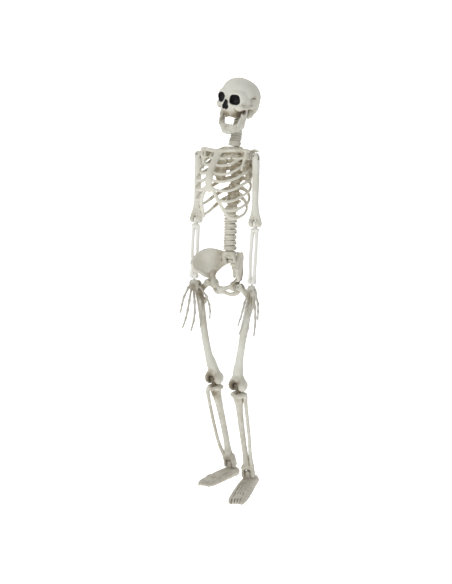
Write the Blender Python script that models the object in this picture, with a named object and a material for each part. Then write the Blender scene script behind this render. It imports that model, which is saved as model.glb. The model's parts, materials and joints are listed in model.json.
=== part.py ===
"""Posable hanging skeleton figure, 0.9 m tall, moulded in plastic.

Metres, +Z up, the figure faces -Y and its left side is +X. The origin is the hanging point on
the crown of the skull. Every moving piece has its origin on its own joint.
"""

from math import asin, cos, pi, radians, sin

import bmesh
import bpy
from mathutils import Matrix, Vector

# --- driving dimensions ------------------------------------------------------------------------
CLEAR = 0.0003                      # gap between two pieces that touch
PIN_R = 0.0020                      # radius of every pivot pin
WALL = 0.0025                       # wall of the skull shells

FIGURE_AT = Vector((-0.0198, -0.0283, 0.0))    # torso's middle plane and spine datum, from the crown

SKULL_CENTRE = Vector((0.0125, 0.0230, -0.0430))
SKULL_YAW, SKULL_PITCH, SKULL_ROLL = 0.5, 7.0, 9.6
SKULL_W, SKULL_L, SKULL_H = 0.0388, 0.0520, 0.0428      # half width, half length, half height
SKULL_SEAM = 0.014                  # the front and rear shells meet at this depth
NOD_AT = Vector((0.0, 0.005, -0.034))
JAW_HINGE = Vector((0.0, -0.012, -0.021))
JAW_OPEN = 24.0
RAMUS_X = 0.0275

NECK_BASE = Vector((0.0, 0.0125, -0.1500))
WAIST_Z = -0.374
WAIST_Y = -0.0035                   # the lumbar column stands on the front of the sacrum

SHOULDER = Vector((0.076, -0.013, -0.167))
HUMERUS, FOREARM = 0.143, 0.132
HIP = Vector((0.044, -0.020, -0.075))          # from the waist
FEMUR, TIBIA = 0.216, 0.211
PELVIS_ROLL = 2.0

# rest pose of each side: right, left
ARM = {
    -1: {"swing": 2.7, "raise": 1.3, "elbow": 4.6, "carry": -4.2, "hand_swing": 3.0,
         "hand_out": -1.0, "twist": 16.0},
    1: {"swing": 3.0, "raise": 1.9, "elbow": 3.4, "carry": -1.2, "hand_swing": 2.0,
        "hand_out": 3.0, "twist": -10.0},
}
LEG = {
    -1: {"swing": -2.8, "spread": -1.7, "knee": 12.0, "yaw": -3.0, "foot": -10.3},
    1: {"swing": 1.9, "spread": -0.5, "knee": 13.6, "yaw": 20.0, "foot": -3.6},
}
SIDE = {-1: "right", 1: "left"}

# ribs, top to bottom: half width, back y, front y, and the heights of each rib at the spine, at the
# side, at its lowest front point and where it meets the sternum or the costal margin
RIBS = [
    {"w": 0.030, "back": 0.0180, "front": -0.049, "z": (-0.1575, -0.1610, -0.1720, -0.1725), "end": 0.006},
    {"w": 0.042, "back": 0.0202, "front": -0.060, "z": (-0.1640, -0.1730, -0.1870, -0.1860), "end": 0.006},
    {"w": 0.050, "back": 0.0232, "front": -0.070, "z": (-0.169, -0.188, -0.205, -0.202), "end": 0.006},
    {"w": 0.055, "back": 0.0265, "front": -0.076, "z": (-0.182, -0.2045, -0.220, -0.217), "end": 0.006},
    {"w": 0.057, "back": 0.0265, "front": -0.077, "z": (-0.198, -0.224, -0.240, -0.234), "end": 0.008},
    {"w": 0.057, "back": 0.0252, "front": -0.075, "z": (-0.217, -0.2455, -0.262, -0.2595), "end": 0.022},
    {"w": 0.054, "back": 0.0217, "front": -0.068, "z": (-0.238, -0.268, -0.282, -0.2785), "end": 0.028},
    {"w": 0.048, "back": 0.0168, "front": -0.059, "z": (-0.257, -0.286, -0.2995, -0.295), "end": 0.033},
]
RIB_R = 0.0026
RIB_SQUARE = 0.78                   # 1 is an elliptical cage seen from above, less is squarer
STERNUM = [(-0.040, -0.156), (-0.061, -0.185), (-0.074, -0.205), (-0.0775, -0.220), (-0.074, -0.240)]
THORAX = [(0.0125, -0.1535), (0.0205, -0.180), (0.0205, -0.210), (0.0155, -0.240), (0.0075, -0.272),
          (0.0000, -0.3035)]

COLOURS = {
    "bone": (0.80, 0.79, 0.72),
    "steel": (0.55, 0.55, 0.56),
}


# --- small tools ---------------------------------------------------------------------------------
def turn(axis, degrees):
    return Matrix.Rotation(radians(degrees), 4, axis)


def place(at):
    return Matrix.Translation(at)


def new_object(name, mesh):
    obj = bpy.data.objects.new(name, mesh)
    bpy.context.scene.collection.objects.link(obj)
    return obj


def mesh_object(name, vertices, faces):
    """A closed mesh with its faces turned outwards."""
    mesh = bpy.data.meshes.new(name)
    mesh.from_pydata([tuple(v) for v in vertices], [], faces)
    work = bmesh.new()
    work.from_mesh(mesh)
    bmesh.ops.recalc_face_normals(work, faces=work.faces)
    work.to_mesh(mesh)
    work.free()
    return new_object(name, mesh)


def loft(name, rings):
    """Closed solid through rings of points, each ring with the same number of points."""
    count = len(rings[0])
    vertices = [p for ring in rings for p in ring]
    faces = []
    for row in range(len(rings) - 1):
        for i in range(count):
            j = (i + 1) % count
            low = row * count
            faces.append((low + i, low + j, low + count + j, low + count + i))
    last = (len(rings) - 1) * count
    faces.append(tuple(range(count))[::-1])
    faces.append(tuple(last + i for i in range(count)))
    return mesh_object(name, vertices, faces)


def level(z, rx, ry, x=0.0, y=0.0, sides=8):
    """An elliptical ring in a plane of constant z."""
    return [Vector((x + rx * cos(2 * pi * i / sides), y + ry * sin(2 * pi * i / sides), z))
            for i in range(sides)]


def limb(name, stations, sides=8):
    """A bone along Z. A station is (z, half width in x, half depth in y, x, y)."""
    return loft(name, [level(*station, sides=sides) for station in stations])


def tube(name, path, radii, sides=6, flat=1.0, up=Vector((0, 0, 1))):
    """A swept bar along a path. Each radius is across the bar; flat scales it the other way."""
    path = [Vector(p) for p in path]
    if isinstance(radii, float):
        radii = [radii] * len(path)
    rings = []
    across = (path[1] - path[0]).cross(up)
    for i, point in enumerate(path):
        ahead = (path[min(i + 1, len(path) - 1)] - path[max(i - 1, 0)]).normalized()
        across = (across - ahead * across.dot(ahead)).normalized()
        over = across.cross(ahead)
        rings.append([point + across * radii[i] * cos(2 * pi * (j + 0.5) / sides)
                      + over * radii[i] * flat * sin(2 * pi * (j + 0.5) / sides)
                      for j in range(sides)])
    return loft(name, rings)


def rod(name, radius, start, end, sides=10):
    start, end = Vector(start), Vector(end)
    up = Vector((0, 0, 1)) if abs((end - start).normalized().z) < 0.9 else Vector((0, 1, 0))
    return tube(name, [start, end], radius, sides=sides, up=up)


def block(name, low, high):
    low, high = Vector(low), Vector(high)
    corners = [(x, y, z) for z in (low.z, high.z)
               for x, y in ((low.x, low.y), (high.x, low.y), (high.x, high.y), (low.x, high.y))]
    faces = [(0, 1, 2, 3), (4, 5, 6, 7), (0, 1, 5, 4), (1, 2, 6, 5), (2, 3, 7, 6), (3, 0, 4, 7)]
    return mesh_object(name, corners, faces)


def ellipsoid(name, centre, radii, segments=12, rings=8):
    mesh = bpy.data.meshes.new(name)
    work = bmesh.new()
    bmesh.ops.create_uvsphere(work, u_segments=segments, v_segments=rings, radius=1.0)
    bmesh.ops.scale(work, vec=Vector(radii), verts=work.verts)
    bmesh.ops.translate(work, vec=Vector(centre), verts=work.verts)
    work.to_mesh(mesh)
    work.free()
    return new_object(name, mesh)


def combine(target, tools, operation="UNION"):
    """Joins the tools to the target, or cuts them from it, and removes them."""
    for tool in tools:
        modifier = target.modifiers.new("combine", "BOOLEAN")
        modifier.operation = operation
        modifier.solver = "EXACT"
        modifier.object = tool
        graph = bpy.context.evaluated_depsgraph_get()
        result = bpy.data.meshes.new_from_object(target.evaluated_get(graph))
        target.modifiers.clear()
        target.data = result
        bpy.data.objects.remove(tool)
    return target


def cut(target, *tools):
    return combine(target, tools, "DIFFERENCE")


def join(target, *tools):
    return combine(target, tools, "UNION")


def finish(obj, name, frame, parent, colour="bone"):
    """Names a piece, gives it its material, and sets it in its frame under its parent."""
    obj.name = name
    obj.data.name = name
    material = bpy.data.materials.get(colour)
    if material is None:
        material = bpy.data.materials.new(colour)
        material.use_nodes = True
        shader = material.node_tree.nodes["Principled BSDF"]
        shader.inputs["Base Color"].default_value = (*COLOURS[colour], 1.0)
        shader.inputs["Roughness"].default_value = 0.55 if colour == "bone" else 0.3
        shader.inputs["Metallic"].default_value = 0.0 if colour == "bone" else 1.0
    obj.data.materials.clear()
    obj.data.materials.append(material)
    obj.data.shade_smooth()
    obj.data.set_sharp_from_angle(angle=radians(40))
    obj.parent = parent
    obj.matrix_local = frame
    return obj


def joint(name, frame, parent):
    """An empty whose origin is on the joint, and whose x, y and z axes its pieces share."""
    empty = bpy.data.objects.new("joint_" + name, None)
    bpy.context.scene.collection.objects.link(empty)
    empty.parent = parent
    empty.matrix_local = frame
    return empty


def pin(name, length, parent, frame, across="X", head=0.0032):
    """A pivot pin centred on its frame, with a low head just past its positive end."""
    half = length / 2
    steps = ((-half, PIN_R), (half, PIN_R), (half, head), (half + 0.0012, head * 0.8))
    shank = loft(name, [[Vector((x, r * cos(pi * j / 4), r * sin(pi * j / 4))) for j in range(8)]
                        for x, r in steps])
    if across == "Y":
        shank.data.transform(turn("Z", -90))
    return finish(shank, name, frame, parent, "steel")


def bore(length, across="X", at=(0, 0, 0), extra=CLEAR):
    half = length / 2
    direction = Vector((half, 0, 0)) if across == "X" else Vector((0, half, 0))
    at = Vector(at)
    return rod("bore", PIN_R + extra, at - direction, at + direction)


# --- head ----------------------------------------------------------------------------------------
def skull_solid():
    """Brain case, face and base as one hollow piece, before it is parted into two shells."""
    shell = ellipsoid("skull", (0, 0, 0), (SKULL_W, SKULL_L, SKULL_H), 20, 12)
    face = loft("face", [
        level(-0.046, 0.0155, 0.017, y=-0.0375, sides=12),
        level(-0.036, 0.0185, 0.019, y=-0.0370, sides=12),
        level(-0.028, 0.0290, 0.021, y=-0.0320, sides=12),
        level(-0.018, 0.0355, 0.024, y=-0.0285, sides=12),
        level(-0.006, 0.0360, 0.026, y=-0.0265, sides=12),
        level(0.006, 0.0330, 0.025, y=-0.0280, sides=12),
        level(0.014, 0.0240, 0.016, y=-0.0280, sides=12),
    ])
    inside = ellipsoid("inside", (0, 0.001, 0),
                       (SKULL_W - WALL, SKULL_L - WALL, SKULL_H - WALL), 16, 10)
    join(shell, face)
    cut(shell, inside)
    base = loft("base", [level(-0.0425, 0.0200, 0.030, y=-0.012, sides=12),
                         level(-0.0330, 0.0225, 0.034, y=-0.012, sides=12),
                         level(-0.0120, 0.0225, 0.034, y=-0.012, sides=12)])
    join(shell, base)
    for side in (-1, 1):
        fossa = block("fossa", (0.0240, -0.0330, -0.0500), (0.0480, 0.0060, -0.0150))
        if side < 0:
            fossa.data.transform(Matrix.Scale(-1, 4, (1, 0, 0)))
            fossa.data.flip_normals()
        cut(shell, fossa)
        cut(shell, ellipsoid("orbit", (side * 0.0180, -0.0540, -0.0065),
                             (0.0118, 0.0130, 0.0118), 10, 6))
        cut(shell, rod("hang_hole", 0.0015, (side * 0.0045, 0, 0.030), (side * 0.0045, 0, 0.050), 8))
    cut(shell, ellipsoid("nose", (0, -0.0580, -0.0220), (0.0075, 0.0090, 0.0095), 8, 6))
    cut(shell, block("tongue_slot", (-0.0048, -0.0060, -0.0600), (0.0048, 0.0160, -0.0250)))
    cut(shell, bore(0.060, at=NOD_AT))
    for side in (-1, 1):
        cut(shell, rod("screw_hole", PIN_R + CLEAR, JAW_HINGE + Vector((side * 0.0150, 0, 0)),
                       JAW_HINGE + Vector((side * 0.0300, 0, 0))))
    return shell


def head(figure):
    frame = (place(SKULL_CENTRE) @ turn("Z", SKULL_YAW) @ turn("Y", SKULL_ROLL)
             @ turn("X", -SKULL_PITCH))
    skull = joint("skull", frame, figure)
    here = Matrix.Identity(4)
    for name, low, high in (("cranium_front", -0.100, SKULL_SEAM - CLEAR / 2),
                            ("cranium_rear", SKULL_SEAM + CLEAR / 2, 0.100)):
        keep = block("keep", (-0.1, low, -0.1), (0.1, high, 0.1))
        finish(combine(skull_solid(), [keep], "INTERSECT"), name, here, skull)
    pin("nod_pin", 0.036, skull, place(NOD_AT), head=PIN_R + 0.0001)

    swing = joint("jaw_open", place(JAW_HINGE) @ turn("X", JAW_OPEN), skull)
    finish(jaw_solid(), "jaw", here, swing)
    for side in (-1, 1):
        at = place((side * (RAMUS_X - 0.0042), 0, 0)) @ turn("Z", 0 if side > 0 else 180)
        pin("jaw_screw_" + SIDE[side], 0.0130, skull, place(JAW_HINGE) @ at)
    return skull


def jaw_solid():
    """Horseshoe body with a ramus at each side, in the frame of its hinge and closed."""
    half = 0.0020
    arch = [(0.0275, -0.0060, -0.0350), (0.0255, -0.0170, -0.0385), (0.0190, -0.0290, -0.0410),
            (0.0100, -0.0350, -0.0420), (0.0, -0.0370, -0.0420)]
    path = [(-x, y, z) for x, y, z in arch] + arch[-2::-1]
    body = tube("jaw", path, 0.0042, sides=8, flat=1.75)
    for side in (-1, 1):
        x = side * RAMUS_X
        outline = [(0.0045, 0.0030), (0.0045, -0.0080), (0.0060, -0.0300), (0.0010, -0.0400),
                   (-0.0120, -0.0420), (-0.0110, -0.0280), (-0.0090, -0.0140), (-0.0045, 0.0020)]
        rings = [[Vector((x + e, y, z)) for y, z in outline] for e in (-half, half)]
        join(body, loft("ramus", rings))
        cut(body, bore(0.012, at=(x, 0, 0)))
    return body


# --- neck, torso and pelvis ------------------------------------------------------------------------
def neck_frame(skull_frame):
    """Origin at the base of the neck, +Z along it to the pin that the skull nods on."""
    top = skull_frame @ NOD_AT
    up = top - NECK_BASE
    across = skull_frame.to_3x3() @ Vector((1, 0, 0))
    across = (across - across.project(up)).normalized()
    up_unit = up.normalized()
    back = up_unit.cross(across)
    basis = Matrix((across, back, up_unit)).transposed().to_4x4()
    return place(NECK_BASE) @ basis, up.length


def vertebrae(name, path, half_w, half_d, count, wave=0.14, sides=8):
    """A column with one swelling for each vertebra."""
    path = [Vector(p) for p in path]
    steps = count * 2
    rings = []
    for i in range(steps + 1):
        t = i / steps * (len(path) - 1)
        k = min(int(t), len(path) - 2)
        at = path[k].lerp(path[k + 1], t - k)
        grow = 1 - wave * (i % 2)
        rings.append([at + Vector((half_w * grow * cos(2 * pi * j / sides),
                                   half_d * grow * sin(2 * pi * j / sides), 0))
                      for j in range(sides)])
    return loft(name, rings)


def cervical_spine(length, nod):
    """Column from the shoulders up, whose top tongue stands square to the pin at nod."""
    neck = vertebrae("neck", [(0, 0, 0.0010), (0, 0, length - 0.0160)], 0.0120, 0.0105, 5)
    plate = [(-0.0050, -0.0190), (0.0050, -0.0190), (0.0050, 0.0), (0.0034, 0.0038),
             (-0.0034, 0.0038), (-0.0050, 0.0)]
    tongue = loft("tongue", [[Vector((x, y, z)) for y, z in plate] for x in (-0.0043, 0.0043)])
    tongue.data.transform(nod)
    drill = bore(0.02)
    drill.data.transform(nod)
    join(neck, tongue)
    join(neck, rod("peg", 0.0045, (0, 0, -0.0140), (0, 0, 0.0030)))
    return cut(neck, drill)


def rib_point(rib, u, side):
    """Point of a rib, u from 0 at the spine to 1 at its front end."""
    start = asin((0.0045 / rib["w"]) ** (1 / RIB_SQUARE))
    end = pi - asin((rib["end"] / rib["w"]) ** (1 / RIB_SQUARE))
    angle = start + (end - start) * u
    middle, half = (rib["back"] + rib["front"]) / 2, (rib["back"] - rib["front"]) / 2
    along = abs(cos(angle)) ** RIB_SQUARE * (1 if angle < pi / 2 else -1)
    knots, heights = (0.0, 0.5, 0.85, 1.0), rib["z"]
    z = 0.0
    for i, height in enumerate(heights):
        weight = 1.0
        for j, other in enumerate(knots):
            if j != i:
                weight *= (u - other) / (knots[i] - other)
        z += height * weight
    return Vector((side * rib["w"] * sin(angle) ** RIB_SQUARE, middle + half * along, z))


def rib_bar(rib, side, low, high, steps):
    path = [rib_point(rib, low + (high - low) * i / steps, side) for i in range(steps + 1)]
    return tube("rib", path, RIB_R, sides=5)


RIB_SPLIT = 0.47                    # share of a rib's length that the rear moulding carries


def ribcage_front(figure):
    sternum = tube("sternum", [(0, y, z) for y, z in STERNUM], [0.0095, 0.0085, 0.0085, 0.0090, 0.0060],
                   sides=8, flat=0.42, up=Vector((0, 1, 0)))
    for side in (-1, 1):
        ends = [rib_point(rib, 1.0, side) for rib in RIBS[4:]]
        start = Vector((side * 0.0030, STERNUM[-1][0] - 0.0005, STERNUM[-1][1] + 0.0030))
        beyond = ends[-1] + (ends[-1] - ends[-2]).normalized() * 0.003
        join(sternum, tube("margin", [start] + ends + [beyond], 0.0040, sides=6))
        for rib in RIBS:
            gap = 0.0045
            join(sternum, rib_bar(rib, side, RIB_SPLIT + gap, 1.0, 6))
        join(sternum, tube("clavicle", [(side * x, y, z) for x, y, z in (
            (0.004, -0.0400, -0.1570), (0.030, -0.0400, -0.1540), (0.050, -0.0270, -0.1525),
            (0.0670, -0.0155, -0.1530))], 0.0038, sides=6))
        join(sternum, tube("side_strut", [(side * x, y, z) for x, y, z in (
            (0.0480, -0.0285, -0.1520), (0.0500, -0.0300, -0.1760), (0.0505, -0.0340, -0.2030))],
            0.0034, sides=6, up=Vector((1, 0, 0))))
    return finish(sternum, "ribcage_front", Matrix.Identity(4), figure)


def ribcage_back(figure, neck):
    column = vertebrae("thorax", [(0, y, z) for y, z in THORAX], 0.0115, 0.0085, 7, wave=0.08)
    boss = rod("boss", 0.0105, (0, 0, -0.0160), (0, 0, -0.0003))
    boss.data.transform(neck)
    join(column, boss)
    for side in (-1, 1):
        for rib in RIBS:
            join(column, rib_bar(rib, side, 0.0, RIB_SPLIT, 6))
        wing = [(0.0300, -0.1600), (0.0600, -0.1570), (0.0570, -0.1850), (0.0440, -0.2260),
                (0.0330, -0.2150)]
        rings = [[Vector((side * x, 0.0175 + e - 0.42 * (x - 0.030), z)) for x, z in wing]
                 for e in (-0.0020, 0.0020)]
        join(column, loft("scapula", rings))
        join(column, tube("spine_of_scapula", [(side * 0.0430, 0.0140, -0.1620),
                                               (side * 0.0570, 0.0070, -0.1600),
                                               (side * 0.0590, -0.0095, -0.1610)], 0.0042, sides=6))
        socket = rod("socket", 0.0095, (side * 0.0510, SHOULDER.y, SHOULDER.z),
                     (side * 0.0650, SHOULDER.y, SHOULDER.z))
        join(column, socket)
        cut(column, rod("bore", 0.0045 + CLEAR, (side * 0.0470, SHOULDER.y, SHOULDER.z),
                        (side * 0.0670, SHOULDER.y, SHOULDER.z)))
    hole = rod("hole", 0.0045 + CLEAR, (0, 0, -0.0300), (0, 0, 0.0100))
    hole.data.transform(neck)
    cut(column, hole)
    return finish(column, "ribcage_back", Matrix.Identity(4), figure)


def lumbar_spine(figure, waist):
    column = vertebrae("lumbar", [(0, -0.0005, -0.3045), (0, WAIST_Y, WAIST_Z + 0.0008)], 0.0115, 0.0095, 5,
                       wave=0.18)
    for i in range(4):
        z = -0.3120 - i * 0.0145
        join(column, rod("process", 0.0018, (-0.0165, 0.0030, z), (0.0165, 0.0030, z), 6))
    drill = rod("bore", 0.0035 + CLEAR, (0, WAIST_Y, -0.0100), (0, WAIST_Y, 0.0160))
    drill.data.transform(waist)
    cut(column, drill)
    return finish(column, "lumbar_spine", Matrix.Identity(4), figure)


def pelvis_solid():
    """Pelvic girdle in the frame of the waist: two wings, their sockets and the pubic arch."""
    hub = limb("sacral_seat", [(-0.0220, 0.0150, 0.0060, 0.0, 0.0120), (-0.0060, 0.0200, 0.0060, 0.0, 0.0130)])
    for side in (-1, 1):
        crest = [(0.0150, 0.0150, -0.0085), (0.0278, 0.0010, -0.0040), (0.0425, -0.0180, -0.0020),
                 (0.0540, -0.0385, -0.0075), (0.0605, -0.0580, -0.0330)]
        brim = [(0.0150, 0.0150, -0.0270), (0.0290, 0.0000, -0.0380), (0.0365, -0.0140, -0.0520),
                (0.0455, -0.0265, -0.0560), (0.0560, -0.0480, -0.0440)]
        rows = []
        for thick in (-0.0018, 0.0018):
            for edge in (crest, brim):
                rows.append([Vector((side * (x + thick), y + thick, z)) for x, y, z in edge])
        count = len(crest)
        vertices = [p for row in rows for p in row]
        crest_in, brim_in, crest_out, brim_out = (k * count for k in range(4))
        faces = []
        for i in range(count - 1):
            faces.append((crest_in + i, crest_in + i + 1, brim_in + i + 1, brim_in + i))
            faces.append((crest_out + i, crest_out + i + 1, brim_out + i + 1, brim_out + i))
            faces.append((crest_in + i, crest_in + i + 1, crest_out + i + 1, crest_out + i))
            faces.append((brim_in + i, brim_in + i + 1, brim_out + i + 1, brim_out + i))
        for i in (0, count - 1):
            faces.append((crest_in + i, brim_in + i, brim_out + i, crest_out + i))
        join(hub, mesh_object("wing", vertices, faces))
        join(hub, tube("brim", [(side * x, y, z) for x, y, z in (
            (0.0100, 0.0140, -0.0200), (0.0250, 0.0060, -0.0340), (0.0350, -0.0125, -0.0500),
            (0.0330, -0.0190, -0.0650), (0.0208, -0.0225, -0.0755), (0.0040, -0.0300, -0.0820))],
            [0.0050, 0.0050, 0.0055, 0.0055, 0.0042, 0.0044], sides=8))
        join(hub, tube("ischium", [(side * x, y, z) for x, y, z in (
            (0.0310, -0.0180, -0.0680), (0.0310, -0.0130, -0.0840), (0.0255, -0.0130, -0.0920),
            (0.0135, -0.0200, -0.0930), (0.0040, -0.0285, -0.0870))],
            [0.0058, 0.0055, 0.0045, 0.0034, 0.0036], sides=8))
        join(hub, rod("socket", 0.0090, (side * 0.0235, HIP.y, HIP.z), (side * 0.0324, HIP.y, HIP.z)))
        clear = rod("clear", 0.0084, (side * 0.0325, HIP.y, HIP.z), (side * 0.0450, HIP.y, HIP.z))
        cut(hub, clear, rod("bore", 0.0040 + CLEAR, (side * 0.0180, HIP.y, HIP.z),
                            (side * 0.0400, HIP.y, HIP.z)))
    join(hub, ellipsoid("symphysis", (0, -0.0300, -0.0845), (0.0090, 0.0062, 0.0078), 8, 6))
    return hub


def pelvis(figure):
    frame = place((0, 0, WAIST_Z)) @ turn("Y", PELVIS_ROLL)
    waist = joint("pelvis", frame, figure)
    here = Matrix.Identity(4)
    girdle = pelvis_solid()
    seat = limb("seat", [(-0.0370, 0.0090, 0.0080, 0.0, 0.0150), (-0.0003, 0.0150, 0.0210, 0.0, -0.0006)])
    cut(girdle, seat)
    finish(girdle, "pelvis", here, waist)
    sacrum = limb("sacrum", [(-0.0620, 0.0035, 0.0025, 0.0, 0.0160), (-0.0500, 0.0060, 0.0040, 0.0, 0.0200),
                             (-0.0362, 0.0085, 0.0072, 0.0, 0.0150), (-0.0200, 0.0104, 0.0118, 0.0, 0.0076),
                             (-0.0012, 0.0138, 0.0125, 0.0, -0.0006)])
    cut(sacrum, rod("bore", 0.0035 + CLEAR, (0, WAIST_Y, -0.0160), (0, WAIST_Y, 0.01)))
    finish(sacrum, "sacrum", here, waist)
    spindle = rod("spindle", 0.0035, (0, WAIST_Y, -0.0155), (0, WAIST_Y, 0.0150))
    finish(spindle, "waist_spindle", here, waist)
    return waist


# --- limbs -----------------------------------------------------------------------------------------
def ball_link(name, stub, flange, reach, side, parent, frame):
    """Swivel between trunk and limb: a stub that turns in the trunk and a tongue that holds a pin."""
    length, radius = stub
    body = rod(name, radius, (-side * (reach + length), 0, 0), (-side * (reach - 0.001), 0, 0))
    join(body, rod("flange", flange, (-side * reach, 0, 0), (-side * (reach - 0.0022), 0, 0)))
    outline = [(-reach + 0.001, -0.0040), (0.0, -0.0046), (0.0040, -0.0025), (0.0046, 0.0),
               (0.0040, 0.0025), (0.0, 0.0046), (-reach + 0.001, 0.0040)]
    rings = [[Vector((side * x, e, z)) for x, z in outline] for e in (-0.0028, 0.0028)]
    join(body, loft("tongue", rings))
    cut(body, bore(0.02, "Y"))
    return finish(body, name, frame, parent)


def clevis_cut(depth, half_gap=0.0032):
    """Opens a ball for the tongue of its swivel, and bores it for the pin along Y."""
    return block("slot", (-0.0115, -half_gap, -depth), (0.0115, half_gap, 0.030)), bore(0.04, "Y")


def humerus_solid(side):
    bone = ellipsoid("humerus", (0, 0, 0), (0.0080, 0.0078, 0.0080), 10, 8)
    shaft = limb("shaft", [
        (0.0000, 0.0066, 0.0060, 0.0010 * side, 0.0), (-0.0160, 0.0074, 0.0066, 0.0010 * side, 0.0),
        (-0.0450, 0.0062, 0.0060, 0.0005 * side, 0.0), (-0.0900, 0.0056, 0.0055, 0.0, 0.0),
        (-0.1150, 0.0062, 0.0055, 0.0, 0.0), (-0.1310, 0.0105, 0.0050, 0.0, 0.0),
        (-0.1400, 0.0122, 0.0048, 0.0, 0.0)])
    join(bone, shaft)
    join(bone, rod("condyles", 0.0068, (-0.0125, 0, -HUMERUS), (0.0125, 0, -HUMERUS)))
    cut(bone, *clevis_cut(0.0080))
    cut(bone, block("notch", (-0.0034, -0.020, -HUMERUS - 0.020), (0.0034, 0.020, -HUMERUS + 0.0082)))
    return cut(bone, bore(0.05, at=(0, 0, -HUMERUS)))


def hinge_tongue(half, radius, reach):
    """Plate that turns on a pin along X and reaches down to the bone below it."""
    outline = [(radius * cos(radians(a)), radius * sin(radians(a))) for a in range(0, 181, 30)]
    outline += [(-radius * 0.7, -reach), (radius * 0.7, -reach)]
    return loft("tongue", [[Vector((x, y, z)) for y, z in outline] for x in (-half, half)])


def forearm_solid(side, carry):
    """Radius and ulna moulded together, square to the elbow pin above and leaning in below."""
    bone = limb("head", [(-0.0082, 0.0100, 0.0058, 0.0, 0.0), (-0.0150, 0.0098, 0.0056, 0.0, 0.0),
                         (-0.0200, 0.0080, 0.0046, 0.0, 0.0)])
    join(bone, hinge_tongue(0.0030, 0.0055, 0.0120))
    lean = turn("Y", -side * carry)
    for offset, radius in ((0.0055, 0.0030), (-0.0050, 0.0036)):
        shaft = tube("shaft", [
            (side * offset, 0, -0.0160), (side * offset * 1.25, -0.0006, -0.0500),
            (side * offset * 1.15, -0.0006, -0.0900), (side * offset * 0.90, 0, -0.1240)],
            [radius * 1.15, radius * 0.9, radius * 0.85, radius * 1.2], sides=8,
            up=Vector((0, 1, 0)))
        shaft.data.transform(lean)
        join(bone, shaft)
    wrist = limb("wrist", [(-0.1300, 0.0088, 0.0055, 0.0, 0.0), (-0.1190, 0.0088, 0.0052, 0.0, 0.0)])
    socket = rod("socket", 0.0025 + CLEAR, (0, 0, -0.1460), (0, 0, -0.1200))
    wrist.data.transform(lean)
    socket.data.transform(lean)
    join(bone, wrist)
    return cut(bone, bore(0.03), socket)


FINGERS = {                         # outward, forward and down of each knuckle, from the wrist
    "thumb": [(0.0080, 0.000, 0.0100), (0.0160, 0.002, 0.0200), (0.0280, 0.006, 0.0400),
              (0.0340, 0.011, 0.0740)],
    "index": [(0.0050, 0.000, 0.0160), (0.0130, 0.000, 0.0500), (0.0200, 0.003, 0.0840),
              (0.0250, 0.013, 0.1080)],
    "middle": [(0.0000, 0.000, 0.0160), (-0.0020, 0.000, 0.0530), (-0.0020, 0.003, 0.0870),
               (0.0010, 0.013, 0.1130)],
    "ring": [(-0.0050, 0.000, 0.0160), (-0.0145, 0.000, 0.0520), (-0.0190, 0.003, 0.0820),
             (-0.0200, 0.012, 0.1050)],
    "little": [(-0.0090, 0.000, 0.0140), (-0.0240, 0.000, 0.0400), (-0.0300, 0.003, 0.0660),
               (-0.0320, 0.010, 0.0880)],
}
FINGER_R = [0.0030, 0.0030, 0.0025, 0.0013]


def hand_solid(side):
    """Palm to -Y and thumb to the outside, fingers down."""
    palm = limb("palm", [(-0.0020, 0.0060, 0.0040, 0.0, 0.0), (-0.0090, 0.0130, 0.0055, 0.0, 0.0),
                         (-0.0180, 0.0145, 0.0045, 0.0, 0.0), (-0.0240, 0.0110, 0.0030, 0.0, 0.0)])
    for knuckles in FINGERS.values():
        path = [(side * out, -forward, -down) for out, forward, down in knuckles]
        join(palm, tube("finger", path, FINGER_R, sides=6, up=Vector((0, 1, 0))))
    return cut(palm, rod("peg_hole", 0.0024 + CLEAR, (0, 0, -0.0110), (0, 0, 0.0100)))


def arm(side, figure):
    pose, tag = ARM[side], SIDE[side]
    here = Matrix.Identity(4)
    at = Vector((side * SHOULDER.x, SHOULDER.y, SHOULDER.z))
    swing = joint("shoulder_swing_" + tag, place(at) @ turn("X", -pose["swing"]), figure)
    ball_link("shoulder_link_" + tag, (0.0130, 0.0045), 0.0082, 0.0106, side, swing, here)
    raised = joint("shoulder_raise_" + tag, turn("Y", -side * pose["raise"]), swing)
    finish(humerus_solid(side), "humerus_" + tag, here, raised)
    pin("shoulder_pin_" + tag, 0.0162, raised, here, "Y", head=0.0030)
    pin("elbow_pin_" + tag, 0.0256, raised, place((0, 0, -HUMERUS)), head=0.0030)
    elbow = joint("elbow_bend_" + tag, place((0, 0, -HUMERUS)) @ turn("X", -pose["elbow"]), raised)
    finish(forearm_solid(side, pose["carry"]), "forearm_" + tag, here, elbow)
    wrist = joint("wrist_turn_" + tag, turn("Y", -side * pose["carry"]) @ place((0, 0, -FOREARM)), elbow)
    hang = turn("Y", -side * pose["hand_out"]) @ turn("X", -pose["hand_swing"]) @ turn("Z", pose["twist"])
    peg = rod("peg", 0.0024, (0, 0, -0.0080), (0, 0, 0.0110))
    tip = rod("tip", 0.0024, (0, 0, 0), (0, 0, -0.0100))
    tip.data.transform(hang)
    join(peg, tip)
    finish(peg, "wrist_peg_" + tag, here, wrist)
    hand = hand_solid(side)
    hand.data.transform(hang)
    clear_peg = rod("clear_peg", 0.0024 + CLEAR, (0, 0, -0.0090), (0, 0, 0.0110))
    cut(hand, clear_peg)
    finish(hand, "hand_" + tag, here, wrist)


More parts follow.
